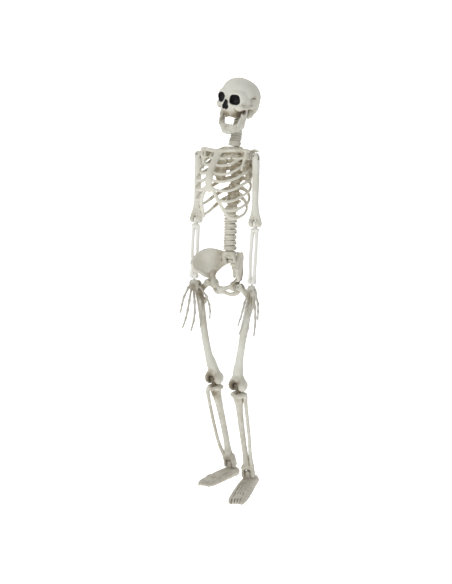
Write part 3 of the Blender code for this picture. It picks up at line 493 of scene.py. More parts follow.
# --- head and neck ---
def skull():
    c = Clay((-45, -62, -54), (45, 56, 46), 0.9)
    c.ball((0, -2, 0.5), (38, 50.8, 37.6))
    c.ball((0, -11.5, 8), (35.6, 38.6, 31.6), 3)
    c.ball((0, 26.5, -12.5), (28.2, 22.6, 28.6), 3)
    c.ball((0, -4, -28), (24, 30, 11), 6)
    c.ball((0, -36, -21), (22.5, 18, 20), 5)
    for side in (-1, 1):
        c.ball((side * 25.5, -35, -4), (8.6, 11.5, 13), 6)
        c.ball((side * 26, -35.5, -23), (8, 9, 8.6), 5)
        c.bar(on(side, (8, -48, 2.5), (17, -45, 5), (26, -38, 2.5)), 3.8, 5)
        c.bar(on(side, (24, -40, -24), (31, -34, -23), (35.5, -24, -22), (37, -12, -18.5), (35.5, -3, -15)),
              [5, 4.6, 4, 3.4, 3.4], 3)
        c.ball((side * 33.5, 4, -11), (5.6, 15, 12.5), 1.2)
        c.bar(on(side, (37.8, -14, -8), (37.5, -13.5, -1), (37, -7, 2.2), (37.5, 3, 2)),
              [0.8, 1.3, 1.3, 0.8], 2, carve=True)
        c.ball((side * 31, -17, -12), (6.3, 17, 11.5), 4)
        c.bar([(side * 31, 9, -20), (side * 28.5, 8, -36)], [7, 4.4], 4)
        c.ball((side * 33, -14, -37), (9, 21, 15), 3, carve=True)
        c.bar([(side * 17, -20, -32), (side * 14.5, -20, -45)], [6, 4.4], 3)
        c.ball((side * 26, 3, -29), (7, 9.5, 15), 3)
    c.bar([(0, -48, 0), (0, -51.5, -6), (0, -54.5, -11.5)], [4.4, 3.8, 3], 3)
    for z, r in ((-33, 4.6), (-38.5, 3.6)):
        arch(c, [(17, -25, z), (15.8, -36, z), (9.8, -44.5, z), (0, -47.8, z)], r, 4)
    for side in (-1, 1):
        tilt = turned("Y", -side * 7)
        c.block((side * 18, -50, -8.8), (10.6, 14, 9.9), 8.4, 1, tilt, carve=True, black=True)
        c.ball((side * 3.5, -56, -26.6), (4.5, 9, 5), 0.8, carve=True, black=True)
    c.ball((0, -56, -20), (5.2, 9, 8.2), 0.8, carve=True, black=True)
    c.ball((0, 6, -47), (12, 13, 14), 3, carve=True)
    c.block((0, 5, -40), (4.8, 11, 13), 0.5, 1, carve=True)
    teeth(c, [(19.8, -24.5), (19.3, -30), (18.1, -35.6), (15.8, -40.7), (12.6, -45), (8.6, -48.2), (3.9, -50)],
          -42.6, (2.2, 2, 4.3), 3)
    # Spots of painted shade under the skull's base, under the cheek arches, in the open mouth and along the temple
    # groove, the strongest nearly black, with faint staining at the back and by the ears.
    stain_and_shade_spots = [(0, 0, -44, 24, 0.7), (0, -50, -42, 13, 0.3), (0, 40, -10, 30, 0.06)]
    for side in (-1, 1):
        c.drum((side * 4.5, 0, 30), (side * 4.5, 0, 52), 1.5, 0.2, 0.4, carve=True)
        stain_and_shade_spots += spots(side, (25, -14, -28, 11, 3), (23, -24, -33, 11, 2.6), (16, -20, -43, 11, 2.4),
                        (37, -14, -4, 6, 1), (37.5, -5, 2, 5, 0.8), (33, -31, -14, 5, 0.7), (34, 8, -1, 8, 0.25),
                        (36, 6, -22, 15, 0.55), (17, -40, -44, 9, 1.1), (6, -50, -44, 9, 1),
                        (22, -34, -33, 7, 0.3))
    bone("skull", c, SKULL, "skull", ["cranium_front", "cranium_rear"], rough=0.10, stain_and_shade=0, seed=1,
         stain_and_shade_spots=stain_and_shade_spots)


def arch(c, half, radius, blend, flat=1):
    """A bar bent round the middle plane, from its half up to that plane."""
    c.bar(on(-1, *half) + half[-2::-1], radius, blend, flat=flat)


def teeth(c, places, z, size, seed):
    """A row of teeth through places given for the left, turned to follow the arch."""
    rng = np.random.default_rng(seed)
    for x, y in places:
        for side in (-1, 1):
            dz, dy = rng.uniform(-0.7, 0.7), rng.uniform(-0.3, 0.3)
            heading = np.arctan2(-y - 22, x) - pi / 2
            turn = Matrix.Rotation(-side * heading * 0.9, 3, "Z")
            c.block((side * x, y + dy, z + dz), size, 1.3, 0.35, turn)


def jaw():
    c = Clay((-34, -46, -54), (34, 12, 8), 0.8)
    for z, r, flat in ((-42.5, 6.6, 0.5), (-36.5, 4.8, 0.6)):
        arch(c, [(26, -16, z + 5.5), (24.5, -22.5, z + 4), (19.8, -29.5, z + 2.2), (11, -35.2, z + 0.4),
                 (0, -37.6, z)], r, 2, flat)
    c.ball((0, -39, -45.5), (12.5, 5, 6), 4)
    for side in (-1, 1):
        c.ball((side * 8, -37, -46.5), (4.5, 4, 3.2), 3)
        rows = np.array([((-1.5, -9), (-7, -12)), ((-3.5, -14), (-13.5, -14.5)), ((-5.5, -19), (-19, -17)),
                         ((-8, -24.5), (-24, -21)), ((-11, -30), (-28, -26)), ((-15.5, -34), (-30.5, -31)),
                         ((-19, -38), (-30, -36))])
        rows = [a + (b - a) * t for a, b in zip(rows, rows[1:]) for t in (0, 0.33, 0.67)] + [rows[-1]]
        c.bars([[(side * 27.5, y0, z0), (side * (27.4 - 0.16 * max(0, -14 - y1)), y1, z1)]
                for (y0, z0), (y1, z1) in rows], 2.3, 1.5)
        c.bar([(side * 27.5, 0, 0.2), (side * 27.5, -1.5, -10)], [3.4, 3], 2, flat=0.75, thin=(1, 0, 0))
        c.ball((side * 27.5, 0, 0), (2.4, 4, 3.4), 1.5)
        c.bar(on(side, (27.5, -12, -16), (27.4, -16, -11.5), (27.2, -18.5, -8)), [3.2, 2.6, 1.3], 2,
              flat=0.7, thin=(1, 0, 0))
        c.bar(on(side, (27.4, -3, -13), (27, -9.5, -25), (26.2, -18.5, -37)), [2.8, 3, 3.6], 2)
    teeth(c, [(21.6, -23.5), (18.6, -28), (14.8, -31.6), (10.2, -34.4), (5.2, -36.2), (1.7, -36.8)],
          -32, (2.1, 1.7, 3.2), 8)
    # Spots of painted shade inside the jaw behind the front teeth and on its sides, and a lighter patch under the
    # chin.
    stain_and_shade_spots = [(0, -30, -34, 14, 0.7), (0, -38, -36, 9, 0.35), (0, -40, -48, 10, -0.2)]
    for side in (-1, 1):
        stain_and_shade_spots += spots(side, (15, -28, -34, 10, 0.5), (25, -14, -24, 9, 0.35), (27, 0, -8, 9, 0.2))
    bone("jaw_bone", c, JAW, "jaw", ["jaw"], rough=0.12, stain_and_shade=0.03, seed=2, stain_and_shade_spots=stain_and_shade_spots)


def vertebra(c, at, half, tall, wings=0, tail=0, lift=0):
    """A ring with a waist, and its blunt side and rear processes."""
    x, y, z = at
    w, d = half
    c.ball((x, y, z), (w * 0.86, d * 0.86, tall * 1.1), 2.2)
    c.ball((x, y, z + tall * 0.55), (w, d, tall * 0.44), 1.8)
    c.ball((x, y, z - tall * 0.55), (w * 1.04, d, tall * 0.44), 1.8)
    if wings:
        for side in (-1, 1):
            c.bar([(x + side * w * 0.5, y + d * 0.5, z), (x + side * wings, y + d * 0.35, z + lift)],
                  [3.6, 2.8], 2.5)
    if tail:
        c.bar([(x, y + d * 0.5, z), (x, y + d + tail, z - tail * 0.5)], [4.2, 3.2], 2.5)


def neck():
    top = NECK_LENGTH
    c = Clay((-20, -16, 0.4), (20, 24, top + 5), 0.8)
    rng = np.random.default_rng(9)
    for i, z in enumerate(np.linspace(7, top - 21, 5)):
        wide = 14.4 - i * 0.7 + rng.uniform(-0.6, 0.6)
        vertebra(c, (rng.uniform(-0.5, 0.5), 0, z), (wide, 10.6 - i * 0.3), 6.6, wings=wide - 3.5, tail=0.3,
                 lift=rng.uniform(-1, 2))
    c.bar([(0, 0, 5), (0, 0, top - 16)], 7.6, 2)
    nod = (NECK.inverted() @ SKULL).to_3x3()
    at = Vector((0, 0, top))
    c.drum(place(nod, -4.2, 0, -0.5, at), place(nod, 4.2, 0, -0.5, at), 5, 0.8, 1)
    c.block(place(nod, 0, 0, -10, at), (4.2, 5, 9), 0.8, 1, nod)
    c.block((0, 0, -9.3), (60, 60, 10), 0.5, 0.5, carve=True)
    bone("neck_bones", c, NECK, "neck", ["cervical_spine"], rough=0.22, stain_and_shade=0.16, seed=3)


# --- trunk ---
RIBS = [                                     # half width, rear y, front y, heights, front end's x
    (30, 18, -49, (-157.5, -161, -172, -172.5), 6), (42, 20.2, -60, (-164, -173, -187, -186), 6),
    (50, 23.2, -70, (-169, -188, -205, -202), 6), (55, 26.5, -76, (-182, -204.5, -220, -217), 6),
    (57, 26.5, -77, (-198, -224, -240, -234), 8), (57, 25.2, -75, (-217, -245.5, -262, -259.5), 22),
    (54, 21.7, -68, (-238, -268, -282, -278.5), 28), (48, 16.8, -59, (-257, -286, -299.5, -295), 33),
]
COLUMN = [(0, 12.5, -153.5), (0, 20.5, -180), (0, 20.5, -210), (0, 15.5, -240), (0, 7.5, -272), (0, 0, -303)]


def rib_point(rib, u, side):
    """Point of a rib, u from 0 at the spine to 1 at its front end, with heights at 0, 0.5, 0.85 and 1."""
    wide, rear, front, heights, end = rib
    start, stop = asin((4.5 / wide) ** (1 / 0.78)), pi - asin((end / wide) ** (1 / 0.78))
    angle = start + (stop - start) * u
    along = abs(cos(angle)) ** 0.78 * (1 if angle < pi / 2 else -1)
    knots, z = (0, 0.5, 0.85, 1), 0
    for i, height in enumerate(heights):
        for j, other in enumerate(knots):
            if j != i:
                height *= (u - other) / (knots[i] - other)
        z += height
    return (side * wide * sin(angle) ** 0.78, (rear + front) / 2 + (rear - front) / 2 * along, z)


def rib_bar(c, rib, side, low, high):
    steps = np.linspace(low, high, 14)
    radii = 3 + 1.3 * np.clip(1 - steps / 0.55, 0, 1) ** 0.5
    c.bar([rib_point(rib, u, side) for u in steps], radii, 2.4, flat=0.66)


def chest_front():
    c = Clay((-74, -84, -306), (74, 2, -144), 1)
    c.bar([(0, -43.5, -161), (0, -50, -170), (0, -61, -185), (0, -71, -200), (0, -76, -212), (0, -78, -224),
           (0, -76, -240)], [8, 8.2, 8, 8.6, 9, 8.4, 5], 2, flat=0.40, thin=(0, 0.9, 0.35))
    c.ball((0, -41.5, -158.5), (12, 4.2, 5), 4)
    for side in (-1, 1):
        for rib in RIBS:
            rib_bar(c, rib, side, 0.466, 1)
        ends = [rib_point(rib, 1, side) for rib in RIBS[4:]]
        c.bar([(side * 3, -75, -236)] + ends + [(ends[-1][0] + side * 1.5, ends[-1][1] + 2, ends[-1][2] - 5)],
              [4.6, 4.2, 4.2, 4, 3.8, 2.6], 3, flat=0.72, thin=(0, 1, 0.2))
        c.bar(on(side, (3, -41, -157.5), (16, -43, -156.5), (31, -39.5, -155.2), (47, -29, -155),
                 (57, -22.5, -156), (63, -18, -157)), [4.8, 4, 3.5, 4, 4.4, 3.4], 3)
        c.bar(on(side, (59, -23, -156), (58, -25, -168), (54, -27, -182), (52, -30, -196)),
              [3.6, 3, 2.8, 2.4], 2.5)
        c.bar(on(side, (58, -24, -171), (46, -31.5, -172), (36, -38, -172)), [3, 2.6, 2.4], 2.5)
    c.bar([(-46, -29, -155), (-46, -31, -170), (-47, -33, -184)], [3.4, 2.6, 2.6], 2.5)
    bone("chest_front", c, TORSO, "torso", ["ribcage_front"], "ribs", rough=0.24, stain_and_shade=0.05, seed=4,
         stain_and_shade_spots=[(48, -30, -156, 11, 0.4), (-48, -30, -156, 11, 0.4), (0, -45, -165, 12, 0.1)])


def chest_back():
    c = Clay((-80, -20, -308), (80, 46, -144), 1)
    for i in range(10):
        t = i / 9
        z = -158 - t * 143
        y = float(np.interp(-z, [-p[2] for p in COLUMN], [p[1] for p in COLUMN]))
        vertebra(c, (0, y, z), (14.6, 9.6) if i < 9 else (13, 9), 7.8, wings=17 if i > 0 else 0, tail=3, lift=1)
    c.bar(COLUMN, 9.6, 3)
    for side in (-1, 1):
        for rib in RIBS:
            rib_bar(c, rib, side, 0, 0.472)
        inner = [(25, -160), (26, -180), (27, -200), (30, -217), (38, -226)]
        outer = [(60, -157), (58.5, -172), (55.5, -188), (50, -206), (43, -227)]
        rows = []
        for t in np.linspace(0, 1, 22):
            (xa, za), (xb, zb) = along(inner, t), along(outer, t)
            row = []
            for u in np.linspace(0, 1, 7):
                x, z = xa + (xb - xa) * u, za + (zb - za) * u
                row.append((side * x, 17.5 - 0.42 * (x - 30) + 1.8 * sin(pi * u), z))
            rows.append(row)
        c.bars(rows, 1.7, 2)
        c.bar([row[0] for row in rows[::3]], 2.3, 1.5)
        c.bar([row[-1] for row in rows[::3]], 2.5, 1.5)
        c.bar(on(side, (30, 19, -170), (42, 16.5, -165), (54, 9, -160), (60, 1.5, -157), (67, -2.5, -156),
                 (75, -4, -157.5)), [1.8, 3.2, 4, 4.2, 4, 3.1], 2.5, flat=0.8, thin=(0, 0, 1))
        c.bar(on(side, (54, 8, -165), (57, -3, -167), (57, -12, -167)), [4.5, 5.5, 6.5], 3)
        c.drum((side * 50, -13, -167), (side * 65, -13, -167), 9.6, 1.6, 2)
        c.drum((side * 63.6, -13, -167), (side * 80, -13, -167), 8.6, 0.5, 0.5, carve=True)
    c.block((0, 20, -143), (30, 30, 7.2), 0.5, 0.5, carve=True)
    # Painted shade for the inside of the rib cage: the whole back half is darkened, more round the spine and low
    # on the right, and the shoulder tips are lightened as painted highlight.
    bone("chest_back", c, TORSO, "torso", ["ribcage_back"], "ribs", rough=0.24, stain_and_shade=0.45, seed=5,
         stain_and_shade_spots=[(0, 8, -200, 34, 0.55), (0, 4, -255, 34, 0.45), (42, 8, -190, 26, 0.35), (-42, 8, -190, 26, 0.35),
                 (-40, -5, -255, 36, 0.5), (70, -12, -158, 16, -0.5), (-70, -12, -158, 16, -0.5)])


def loin():
    c = Clay((-22, -20, -376), (22, 24, -300), 0.8)
    rng = np.random.default_rng(12)
    for i in range(6):
        z = -309.5 - i * 12
        vertebra(c, (rng.uniform(-0.5, 0.5), -0.6 - i * 0.6, z), (15 + rng.uniform(-0.4, 0.6), 12), 6.2,
                 wings=11.5 + rng.uniform(0, 1.5), tail=0.3, lift=rng.uniform(-1, 1))
    c.bar([(0, -0.5, -306), (0, -3.5, -371)], 9.6, 2)
    c.block((0, 0, -384.2), (40, 40, 10.9), 0.4, 0.4, carve=True)
    bone("loin_bones", c, TORSO, "torso", ["lumbar_spine"], rough=0.25, stain_and_shade=0.12, seed=6)


def hips():
    c = Clay((-70, -66, -102), (70, 28, 4), 1)
    crest = [(13, 20, -22), (21, 13.5, -14), (28.5, 3.5, -7.5), (36, -8, -3.4), (43.5, -18.5, -1.8),
             (50.5, -29.5, -4.2), (56, -40, -10), (59.5, -49, -18), (61.5, -56.5, -30)]
    brim = [(12, 15, -28), (20, 8, -33), (27.5, 1, -38), (32.5, -7, -46), (37, -14, -52), (43, -22, -55.5),
            (48.5, -32, -54.5), (53.5, -42, -49), (58, -51.5, -42)]
    for side in (-1, 1):
        rows = []
        for t in np.linspace(0, 1, 40):
            a, b = np.array(along(crest, t)), np.array(along(brim, t))
            dip = np.array([0.70, 0.62, 0]) * 4.2 * sin(pi * min(t * 1.15, 1))
            rows.append([a + (b - a) * u + dip * sin(pi * u) * 0.9 for u in np.linspace(0, 1, 6)])
        c.bars([on(side, *row) for row in rows], [2.3, 1.8, 1.7, 1.9, 2.4, 3.4], 2)
        c.bar(on(side, *crest), [3.4, 3.6, 3.2, 3, 3, 3, 3, 3.2, 3.6], 2)
        c.bar(on(side, (61.5, -56.5, -31), (58.5, -51, -43), (52, -41, -50), (46, -31, -57), (38, -22, -66)),
              [3.2, 3, 3.2, 4.2, 6], 3)
        c.bar(on(side, (9, 14, -20), (20, 9, -29), (29, 1, -40), (35.5, -11, -51), (34, -18, -64),
                 (21.5, -22.5, -75.5), (3, -31, -82.5)), [5.5, 5.2, 5.2, 6.2, 7, 4.8, 4.8], 3)
        c.bar(on(side, (32, -17, -68), (32, -12, -83), (26, -12.5, -92), (14, -20, -93.5), (3, -29.5, -87.5)),
              [6.6, 6, 5.2, 4, 4], 3)
        c.drum((side * 21, -20, -75), (side * 32.2, -20, -75), 10.4, 2, 2.5)
        c.ball((side * 43, -20, -75), (11.6, 10.2, 10.2), 0.8, carve=True)
        c.ball((side * 45, -20, -75), (12.6, 17, 17), 1.2, carve=True)
    c.ball((0, -31, -85), (9.5, 6.4, 8.5), 3)
    c.block((0, 11, -14), (19, 6, 9), 3, 3)
    for side in (-1, 1):
        c.ball((side * 18, 8, -20), (9, 10, 13), 4)
    c.ball((0, 2, -18), (15.2, 18, 19), 0.8, carve=True)
    # Spots of painted shade in the hip sockets, along the inner brims and where the sacrum sits, and painted
    # highlight on the middle of the right wing.
    stain_and_shade_spots = [(0, 10, -25, 24, 0.5), (0, -30, -85, 13, 0.12), (-46, -24, -22, 13, -0.35), (-34, -8, -14, 7, -0.3),
              (32, -10, -60, 16, 0.9), (42, -10, -40, 18, 0.5)]
    for side in (-1, 1):
        stain_and_shade_spots += spots(side, (30, -4, -48, 13, 0.8), (35, -14, -60, 11, 0.8), (40, -20, -75, 15, 1.2),
                        (25, 2, -14, 14, 0.45))
    bone("hip_bones", c, PELVIS, "torso", ["pelvis"], rough=0.3, stain_and_shade=0.22, seed=7, stain_and_shade_spots=stain_and_shade_spots)


def tail_bone():
    c = Clay((-20, -14, -66), (20, 26, 1), 0.8)
    for z, x, y, at in ((-6, 15, 10.5, -0.6), (-15, 14, 9.5, 3.5), (-24, 11.5, 8.2, 8.6), (-33, 8.8, 6.6, 13.2),
                        (-42, 7.4, 5.2, 16.6), (-51, 5.8, 4, 18.6), (-59, 4, 3.2, 17)):
        c.ball((0, at, z), (x, y, 5.8), 3)
    for side in (-1, 1):
        c.bar(on(side, (7, -4, -7), (14, -5, -13), (14, 0, -25)), [5.5, 5.5, 4], 3)
    for z, x, y in ((-13, 6.2, -3.6), (-22, 5.2, 1.6), (-31, 4.4, 7)):
        for side in (-1, 1):
            c.ball((side * x, y, z), (1.3, 1.6, 1.1), 1, carve=True)
    c.block((0, 0, 9), (40, 40, 9.9), 0.4, 0.4, carve=True)
    bone("tail_bone", c, PELVIS, "torso", ["sacrum"], rough=0.22, stain_and_shade=0.28, seed=8)


# --- arms ---
CARRY = {-1: -4.2, 1: -1.2}                  # the forearm leans in below the elbow
HAND = {-1: (-4, 3, 16), 1: (3, 2, -10)}   # out, forward and twist at rest, right and left
FINGERS = [                                  # outward, forward, down at the palm, each joint and the tip
    [(8, 1, 10), (15.5, 2, 18), (27, 5, 39), (31, 8, 56), (34, 11, 74)],
    [(7, 0, 20), (13, 0, 48), (16.5, 1, 69), (20, 4.5, 87), (25, 12, 108)],
    [(1, 0, 20), (-2, 0, 51), (-3, 1, 74), (-2, 4.5, 93), (1, 12.5, 114)],
    [(-6, 0, 20), (-14.5, 0, 49), (-18, 1, 70), (-19.5, 4, 87), (-20.5, 11.5, 106)],
    [(-11, 0, 17), (-23, 0, 38), (-28.5, 1, 57), (-31, 4, 72), (-32, 10, 88)],
]


def upper_arm(tag, side):
    c = Clay((-17, -13, -156), (17, 13, 14), 0.9)
    c.ball((0, 0, 0), (8.5, 8.6, 7.8))
    c.ball((side * 3.6, -1.5, -3.5), (6.4, 7, 7.6), 3)
    c.ball((side * 1, -5.5, -8), (3.2, 3.2, 6), 3)
    c.bar(on(side, (0.8, 0, -3), (1.2, 0.2, -16), (1, 0.4, -45), (0, 0.3, -88), (0, 0, -113), (0, 0, -131)),
          [7.2, 8.2, 7.5, 7, 7, 7.6], 3)
    c.ball((side * 4, 0, -52), (3.2, 3.6, 16), 4)
    for end in (-1, 1):
        c.bar([(end * 2, 0.2, -104), (end * 6, 0, -122), (end * 10.8, 0, -137)], [4.8, 4.8, 5.2], 3, flat=0.85,
              thin=(0, 1, 0))
    c.drum((-13.4, 0, -143), (13.4, 0, -143), 7.6, 2.6, 2.5)
    for end in (-1, 1):
        c.ball((end * 10, -0.4, -142.5), (4.8, 8.2, 8.2), 1.5)
    c.ball((0, -7, -132), (5, 2.6, 4.5), 2, carve=True)
    c.ball((0, 7.4, -131), (5, 3.4, 5.5), 2, carve=True)
    c.block((0, 0, 11), (12.5, 3.7, 19.4), 0.6, 0.6, carve=True)
    c.block((0, 0, -154.5), (3.6, 20, 19.5), 1.2, 0.8, carve=True)
    elbow = where("elbow_bend_" + tag)
    at = axes(where("shoulder_raise_" + tag), -axis("elbow_bend_" + tag),
              where("shoulder_raise_" + tag) - elbow)
    bone("humerus_bone_" + tag, c, at, "upper_arm_" + tag, ["humerus_" + tag], rough=0.22, stain_and_shade=0.03,
         seed=11 + side, stain_and_shade_spots=[(0, -4, -136, 13, 0.45), (0, 0, 0, 11, 0.25)])


def forearm_frames(tag):
    """The frame square to the elbow's pin, and the leaning one along the bones, at the wrist."""
    elbow, wrist = where("elbow_bend_" + tag), where("wrist_turn_" + tag)
    x = -axis("elbow_bend_" + tag)
    square = axes(elbow, x, elbow - wrist)
    leaning = axes(wrist, x, elbow - wrist, "z")
    return square, leaning


def forearm(tag, side):
    square, leaning = forearm_frames(tag)
    lean = turned("Y", -side * CARRY[side])
    c = Clay((-20, -12, -138), (20, 13, 8), 0.8)
    c.ball((0, 0, -14.2), (10.2, 6.2, 5.4), 2)
    c.ball((side * 5.5, 0, -13.5), (5.2, 5.2, 3.6), 1.5)
    c.block((0, 0, 3), (20, 20, 10.7), 0.6, 0.8, carve=True)
    c.drum((-2.95, 0, 0), (2.95, 0, 0), 5.5, 0.8, 0.5)
    c.block((0, 0.4, -7), (2.95, 4.4, 7), 0.8, 0.8)
    for points, radii in (
            ([(5.5, 0, -15), (6.2, -0.4, -30), (7.2, -0.8, -62), (6.6, -0.6, -94), (5.4, 0, -122)],
             [4.4, 3.6, 3.5, 3.6, 4.8]),
            ([(-5, 0, -15), (-5.8, -0.3, -30), (-6.2, -0.6, -62), (-5.6, -0.4, -94), (-4.8, 0, -122)],
             [4.8, 4.2, 3.7, 3.4, 3.8])):
        c.bar([place(lean, side * x, y, z) for x, y, z in points], radii, 1.4)
    c.block(place(lean, 0, 0, -124.5), (9.2, 5.6, 5), 2.6, 2, lean)
    c.ball(place(lean, side * 7, 0, -125), (3.2, 4.6, 5), 2)
    c.ball(place(lean, 0, -5.8, -122), (2.4, 1.8, 5), 1.5, carve=True)
    bone("forearm_bones_" + tag, c, square, "forearm_" + tag, ["forearm_" + tag], "pale", rough=0.18, stain_and_shade=0,
         seed=14 + side, stain_and_shade_spots=[(0, 0, -14, 10, 0.3), (0, 0, -125, 10, 0.25)])


def hand(tag, side):
    leaning = forearm_frames(tag)[1]
    out, forward, twist = HAND[side]
    hang = turned("Y", -side * out) @ turned("X", -forward) @ turned("Z", twist)
    at = leaning @ hang.to_4x4()
    low, high = sorted((side * -52, side * 40))
    c = Clay((low, -20, -120), (high, 10, 4), 0.7)
    rng = np.random.default_rng(20)
    for row, places in ((-8, (-7.5, -2.4, 3, 8)), (-15.4, (-9, -3.4, 2.6, 8.6))):
        for x in places:
            c.ball((side * x, rng.uniform(-0.8, 0.8), row + rng.uniform(-0.8, 0.8)),
                   (3.5, 4.2 + rng.uniform(-0.4, 0.3), 4.3), 0.9)
    c.block((0, 0, -11), (8.5, 2.6, 9), 2, 2)
    c.block((0, 0, -4.5), (7.8, 3.6, 4), 2, 2)
    for n, finger in enumerate(FINGERS):
        spread = {0: 0.8, 1: 0.85, 4: 1.3}.get(n, 1) if side < 0 else {4: 0.85}.get(n, 1)
        points = [np.array((side * x * spread, -y, -z), float) for x, y, z in finger]
        size = (1, 1, 1.04, 1, 0.88)[n]
        for i, (a, b) in enumerate(zip(points, points[1:])):
            knob, shaft = ((3.4, 2.2), (3.5, 2.2), (3.1, 2), (2.7, 1.7))[i]
            tip = 1.7 if i == 3 else (3.7, 3.3, 2.9)[i]
            gap = (b - a) / np.linalg.norm(b - a) * 0.6
            c.bar([a + gap * (i > 0), a + (b - a) * 0.22, a + (b - a) * 0.5, a + (b - a) * 0.8, b - gap],
                  [size * r for r in (knob * 0.92, shaft * 1.08, shaft, shaft * 1.12, tip * 0.95)],
                  0.7 if i else 1.6)
    c.drum((0, 0, 10), (0, 0, -10), 2.9, 0.3, 0.4, carve=True)
    bone("hand_bones_" + tag, c, at, "hand_" + tag, ["hand_" + tag], "hand", rough=0.16, stain_and_shade=0.22,
         seed=17 + side, stain_and_shade_spots=spots(-side, (0, 0, -14, 14, 0.25), (3, 3, -30, 13, 0.6), (2, 0, -50, 60, 0.15)))


# --- legs ---
def link(kind, tag, side, room, stub, collar, tongue, stain_and_shade, seed):
    """A two-way link: a stub that turns in its socket, a collar and a tongue round the limb's pin.

    stub and collar are the far end, the near end and the radius, and room and tongue are half sizes.
    """
    c = Clay([-half for half in room], room, 0.6)
    for (far, near, radius), rounded in ((stub, 0.8), (collar, 0.9)):
        c.drum((-side * far, 0, 0), (-side * near, 0, 0), radius, rounded, 0.8)
    c.block((-side * 3.6, 0, 0), tongue, 0.8, 0.8)
    c.drum((0, -2.7, 0), (0, 2.7, 0), 4.6, 0.7, 0.8)
    swing = f"{kind}_swing_{tag}"
    at = axes(where(swing), -axis(swing), (0, 0, 1))
    bone(f"{kind}_joint_{tag}", c, at, f"{kind}_{tag}", [f"{kind}_link_{tag}"], rough=0.05, stain_and_shade=stain_and_shade, seed=seed)


def thigh(tag, side):
    low, high = sorted((side * -28, side * 42))
    c = Clay((low, -18, -232), (high, 18, 12), 1)
    c.ball((0, 0, 0), (9.2, 9.2, 9.2))
    c.bar(on(side, (2, 0, -2), (13, 0.3, -9.5), (26, 2, -22)), [6.6, 6.3, 7.4], 3)
    c.bar(on(side, (31, 5, -3), (30.5, 4, -16), (25.5, 1.5, -40), (19.5, -2.5, -70), (16.4, -4.2, -93),
             (12.8, -5, -120), (7.4, -4.6, -155), (1.8, -2.2, -185)),
          [6, 9.2, 8.4, 7.9, 7.8, 7.7, 8.2, 10.2], 3)
    c.ball((side * 32, 4.5, -10), (6.4, 7.6, 10.5), 3.5)
    c.ball((side * 17, 6.5, -42), (4.4, 4, 7), 4)
    c.ball((side * 23, -6.6, -28), (7, 2.6, 7), 3, carve=True)
    off = 2 if side < 0 else 1
    for end in (-1, 1):
        c.bar([(side * 2.5 + end * 2, -2, -174), (off + end * 5.5, -1, -193), (off + end * 11, 0, -207)],
              [7.6, 7.4, 8.4], 4)
        c.ball((off + end * 12.4, 0.4, -214), (9.4, 13.6, 13.6), 2.5)
    c.ball((off, -4, -204), (11, 8, 9), 4)
    c.ball((off - 1, -14.2, -199), (3.6, 3.4, 5), 4, carve=True)
    c.ball((off - 2, -11.8, -197), (1.5, 2.2, 1.8), 0.8, carve=True)
    c.drum((0, -30, -213.5), (0, 30, -213.5), 6.2, 0.5, 1.6, carve=True)
    c.block((0, 0, -229), (6.2, 30, 15.5), 0.5, 1.6, carve=True)
    c.block((0, 18, -208), (6.2, 16, 14.5), 1.5, 1.5, carve=True)
    c.ball((off, -12, -225), (9.5, 8, 7.5), 2, carve=True)
    c.block((0, 0, 11), (12.5, 3.2, 20.6), 0.6, 0.6, carve=True)
    hip, knee = where("hip_spread_" + tag), where("knee_bend_" + tag)
    at = axes(hip, axis("knee_bend_" + tag), hip - knee)
    # Painted shade at the front of the knee, nearly black; on the right thigh the darkening of the upper shaft is
    # partly staining and partly the painted shadow of the hand in front of it.
    stain_and_shade_spots = [(off - 2, -8, -217, 13, 2.3), (off, -8, -206, 17, 0.5)]
    stain_and_shade_spots += spots(side, (16, 0, -12, 15, 0.25), (20, 6, -40, 14, 0.2))
    if side < 0:
        stain_and_shade_spots += spots(side, (16, -3, -10, 20, 1.2), (26, 0, -38, 24, 0.9), (20, -2, -82, 17, 0.8))
    else:
        stain_and_shade_spots += spots(side, (27, 0, -30, 26, 0.8))
    bone("femur_bone_" + tag, c, at, "thigh_" + tag, ["femur_" + tag], rough=0.26, stain_and_shade=0.10, seed=24 + side,
         stain_and_shade_spots=stain_and_shade_spots)


def shin_frames(tag):
    knee, ankle = where("knee_bend_" + tag), where("ankle_bend_" + tag)
    upper = axes(knee, axis("knee_bend_" + tag), knee - ankle)
    lower = axes(ankle, axis("ankle_bend_" + tag), knee - ankle)
    return upper, lower


